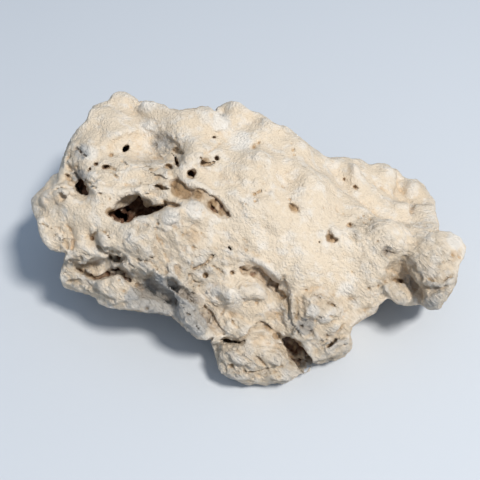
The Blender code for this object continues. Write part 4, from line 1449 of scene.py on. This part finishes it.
class Limestone:
    """The stone's material, built up one layer of colour at a time."""

    def __init__(self, ground):
        self.material = bpy.data.materials.new("pale limestone")
        self.material.use_nodes = True
        self.tree = self.material.node_tree
        self.shader = self.tree.nodes["Principled BSDF"]
        self.where = node(self.tree, "ShaderNodeTexCoord", "where").outputs["Object"]
        self.speckle = speckle_group()
        self.colour = (*ground, 1)

    def measure(self, name):
        """One of the measures kept on the mesh."""
        return node(self.tree, "ShaderNodeAttribute", name, attribute_name=name).outputs["Fac"]

    def ramp(self, value, low, high, most=1.0):
        """A value turned into a share that rises from 0 at low to most at high."""
        inputs = {"Value": value, "From Min": low, "From Max": high, "To Max": most}
        made = node(self.tree, "ShaderNodeMapRange", "range", inputs, interpolation_type="SMOOTHSTEP")
        return made.outputs["Result"]

    def drift(self, label, scale, detail):
        """Noise over the stone."""
        return noise_texture(self.tree, label, self.where, scale, detail)["Fac"]

    def blotches(self, name, size, sharpness, most):
        """The patches of one colour, broken up by noise."""
        inputs = {"Mask": self.measure(name), "Size": size, "Sharpness": sharpness}
        made = node(self.tree, "ShaderNodeGroup", "speckle", inputs, node_tree=self.speckle)
        return self.ramp(made.outputs["Blotches"], low=0, high=1, most=most)

    def lay(self, label, colour, share):
        """Lays a colour over what is there, by a mask."""
        inputs = {"Factor": share, MIX_UNDER: self.colour, MIX_OVER: (*colour, 1)}
        self.colour = node(self.tree, "ShaderNodeMix", label, inputs, data_type="RGBA").outputs[MIX_RESULT]


# %% Limestone's colours
CREAM = (0.77, 0.645, 0.495)
CREAM_DEEP = (0.70, 0.565, 0.41)
WHITE = (0.84, 0.80, 0.74)
# Tan, ochre and brown serve partly as stain and partly as painted shade; the cool grey is mostly painted
# shade.
TAN_AND_SHADE = (0.56, 0.37, 0.20)
SHADE_GREY = (0.37, 0.38, 0.385)
BROWN_AND_SHADE = (0.13, 0.055, 0.028)
OCHRE_AND_SHADE = (0.34, 0.215, 0.11)

limestone = Limestone(CREAM)
slow = limestone.drift("slow drift", scale=28, detail=4)
mottle = limestone.drift("mottle", scale=230, detail=6)
hollow = limestone.measure("hollow")
crevice = limestone.measure("crevice")
fold = limestone.measure("fold")

limestone.lay("deeper cream", CREAM_DEEP, limestone.ramp(slow, low=0.42, high=0.66, most=0.7))
limestone.lay("mottle white", WHITE, limestone.ramp(mottle, low=0.46, high=0.70, most=0.5))
limestone.lay("white crests", WHITE, limestone.ramp(fold, low=-0.05, high=-0.85, most=0.34))
limestone.lay("white patches", WHITE, limestone.blotches("white", size=190, sharpness=0.45, most=0.6))
# Tan patches: stain, and painted shade in the crevice channel and beside the dimple's nodule.
limestone.lay("tan patches", TAN_AND_SHADE, limestone.blotches("tan", size=330, sharpness=0.3, most=0.45))
limestone.lay("tan crevices", TAN_AND_SHADE, limestone.ramp(crevice, low=0.06, high=0.42, most=0.55))
# Painted shade in cool grey on faces turned from the lamp, with a few real grey streaks.
limestone.lay("painted shade grey patches", SHADE_GREY, limestone.blotches("grey", size=420, sharpness=0.3, most=0.62))
# An ochre tint that grows with depth in every hollow: partly stain, partly painted shade.
limestone.lay("ochre and painted shade in hollows", OCHRE_AND_SHADE, limestone.ramp(hollow, low=0.08, high=0.45, most=0.3))
# Ochre patches: stain along cracks, and painted shade under the brow, in the dimple and in the foot gap.
limestone.lay("ochre patches", OCHRE_AND_SHADE, limestone.blotches("ochre", size=400, sharpness=0.3, most=0.8))
# Brown stain in the holes, darkened to near black with depth as painted shade.
limestone.lay("brown and painted shade in holes", BROWN_AND_SHADE, limestone.ramp(hollow, low=0.55, high=0.92, most=0.94))
print("layers of colour:", sum(n.bl_idname == "ShaderNodeMix" for n in limestone.tree.nodes))

# %% Limestone's surface
STONE_ROUGHNESS = 0.92
STONE_SHINE = 0.25
TOOTH_HEIGHT = 0.0011

crumble = limestone.ramp(limestone.measure("rough"), low=0, high=1)
tooth = node(limestone.tree, "ShaderNodeGroup", "tooth", {"Crumble": crumble}, node_tree=tooth_group())
bump = node(limestone.tree, "ShaderNodeBump", "tooth bump",
            {"Height": tooth.outputs["Height"], "Strength": 1.0, "Distance": TOOTH_HEIGHT})
limestone.tree.links.new(limestone.colour, limestone.shader.inputs["Base Color"])
limestone.tree.links.new(bump.outputs["Normal"], limestone.shader.inputs["Normal"])
limestone.shader.inputs["Roughness"].default_value = STONE_ROUGHNESS
limestone.shader.inputs["Specular IOR Level"].default_value = STONE_SHINE
stone.data.materials.clear()
stone.data.materials.append(limestone.material)
print("material:", limestone.material.name, "with", len(limestone.tree.nodes), "nodes")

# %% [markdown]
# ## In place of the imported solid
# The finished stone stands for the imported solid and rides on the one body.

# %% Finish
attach(stone, "root")
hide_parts("holey_rock")
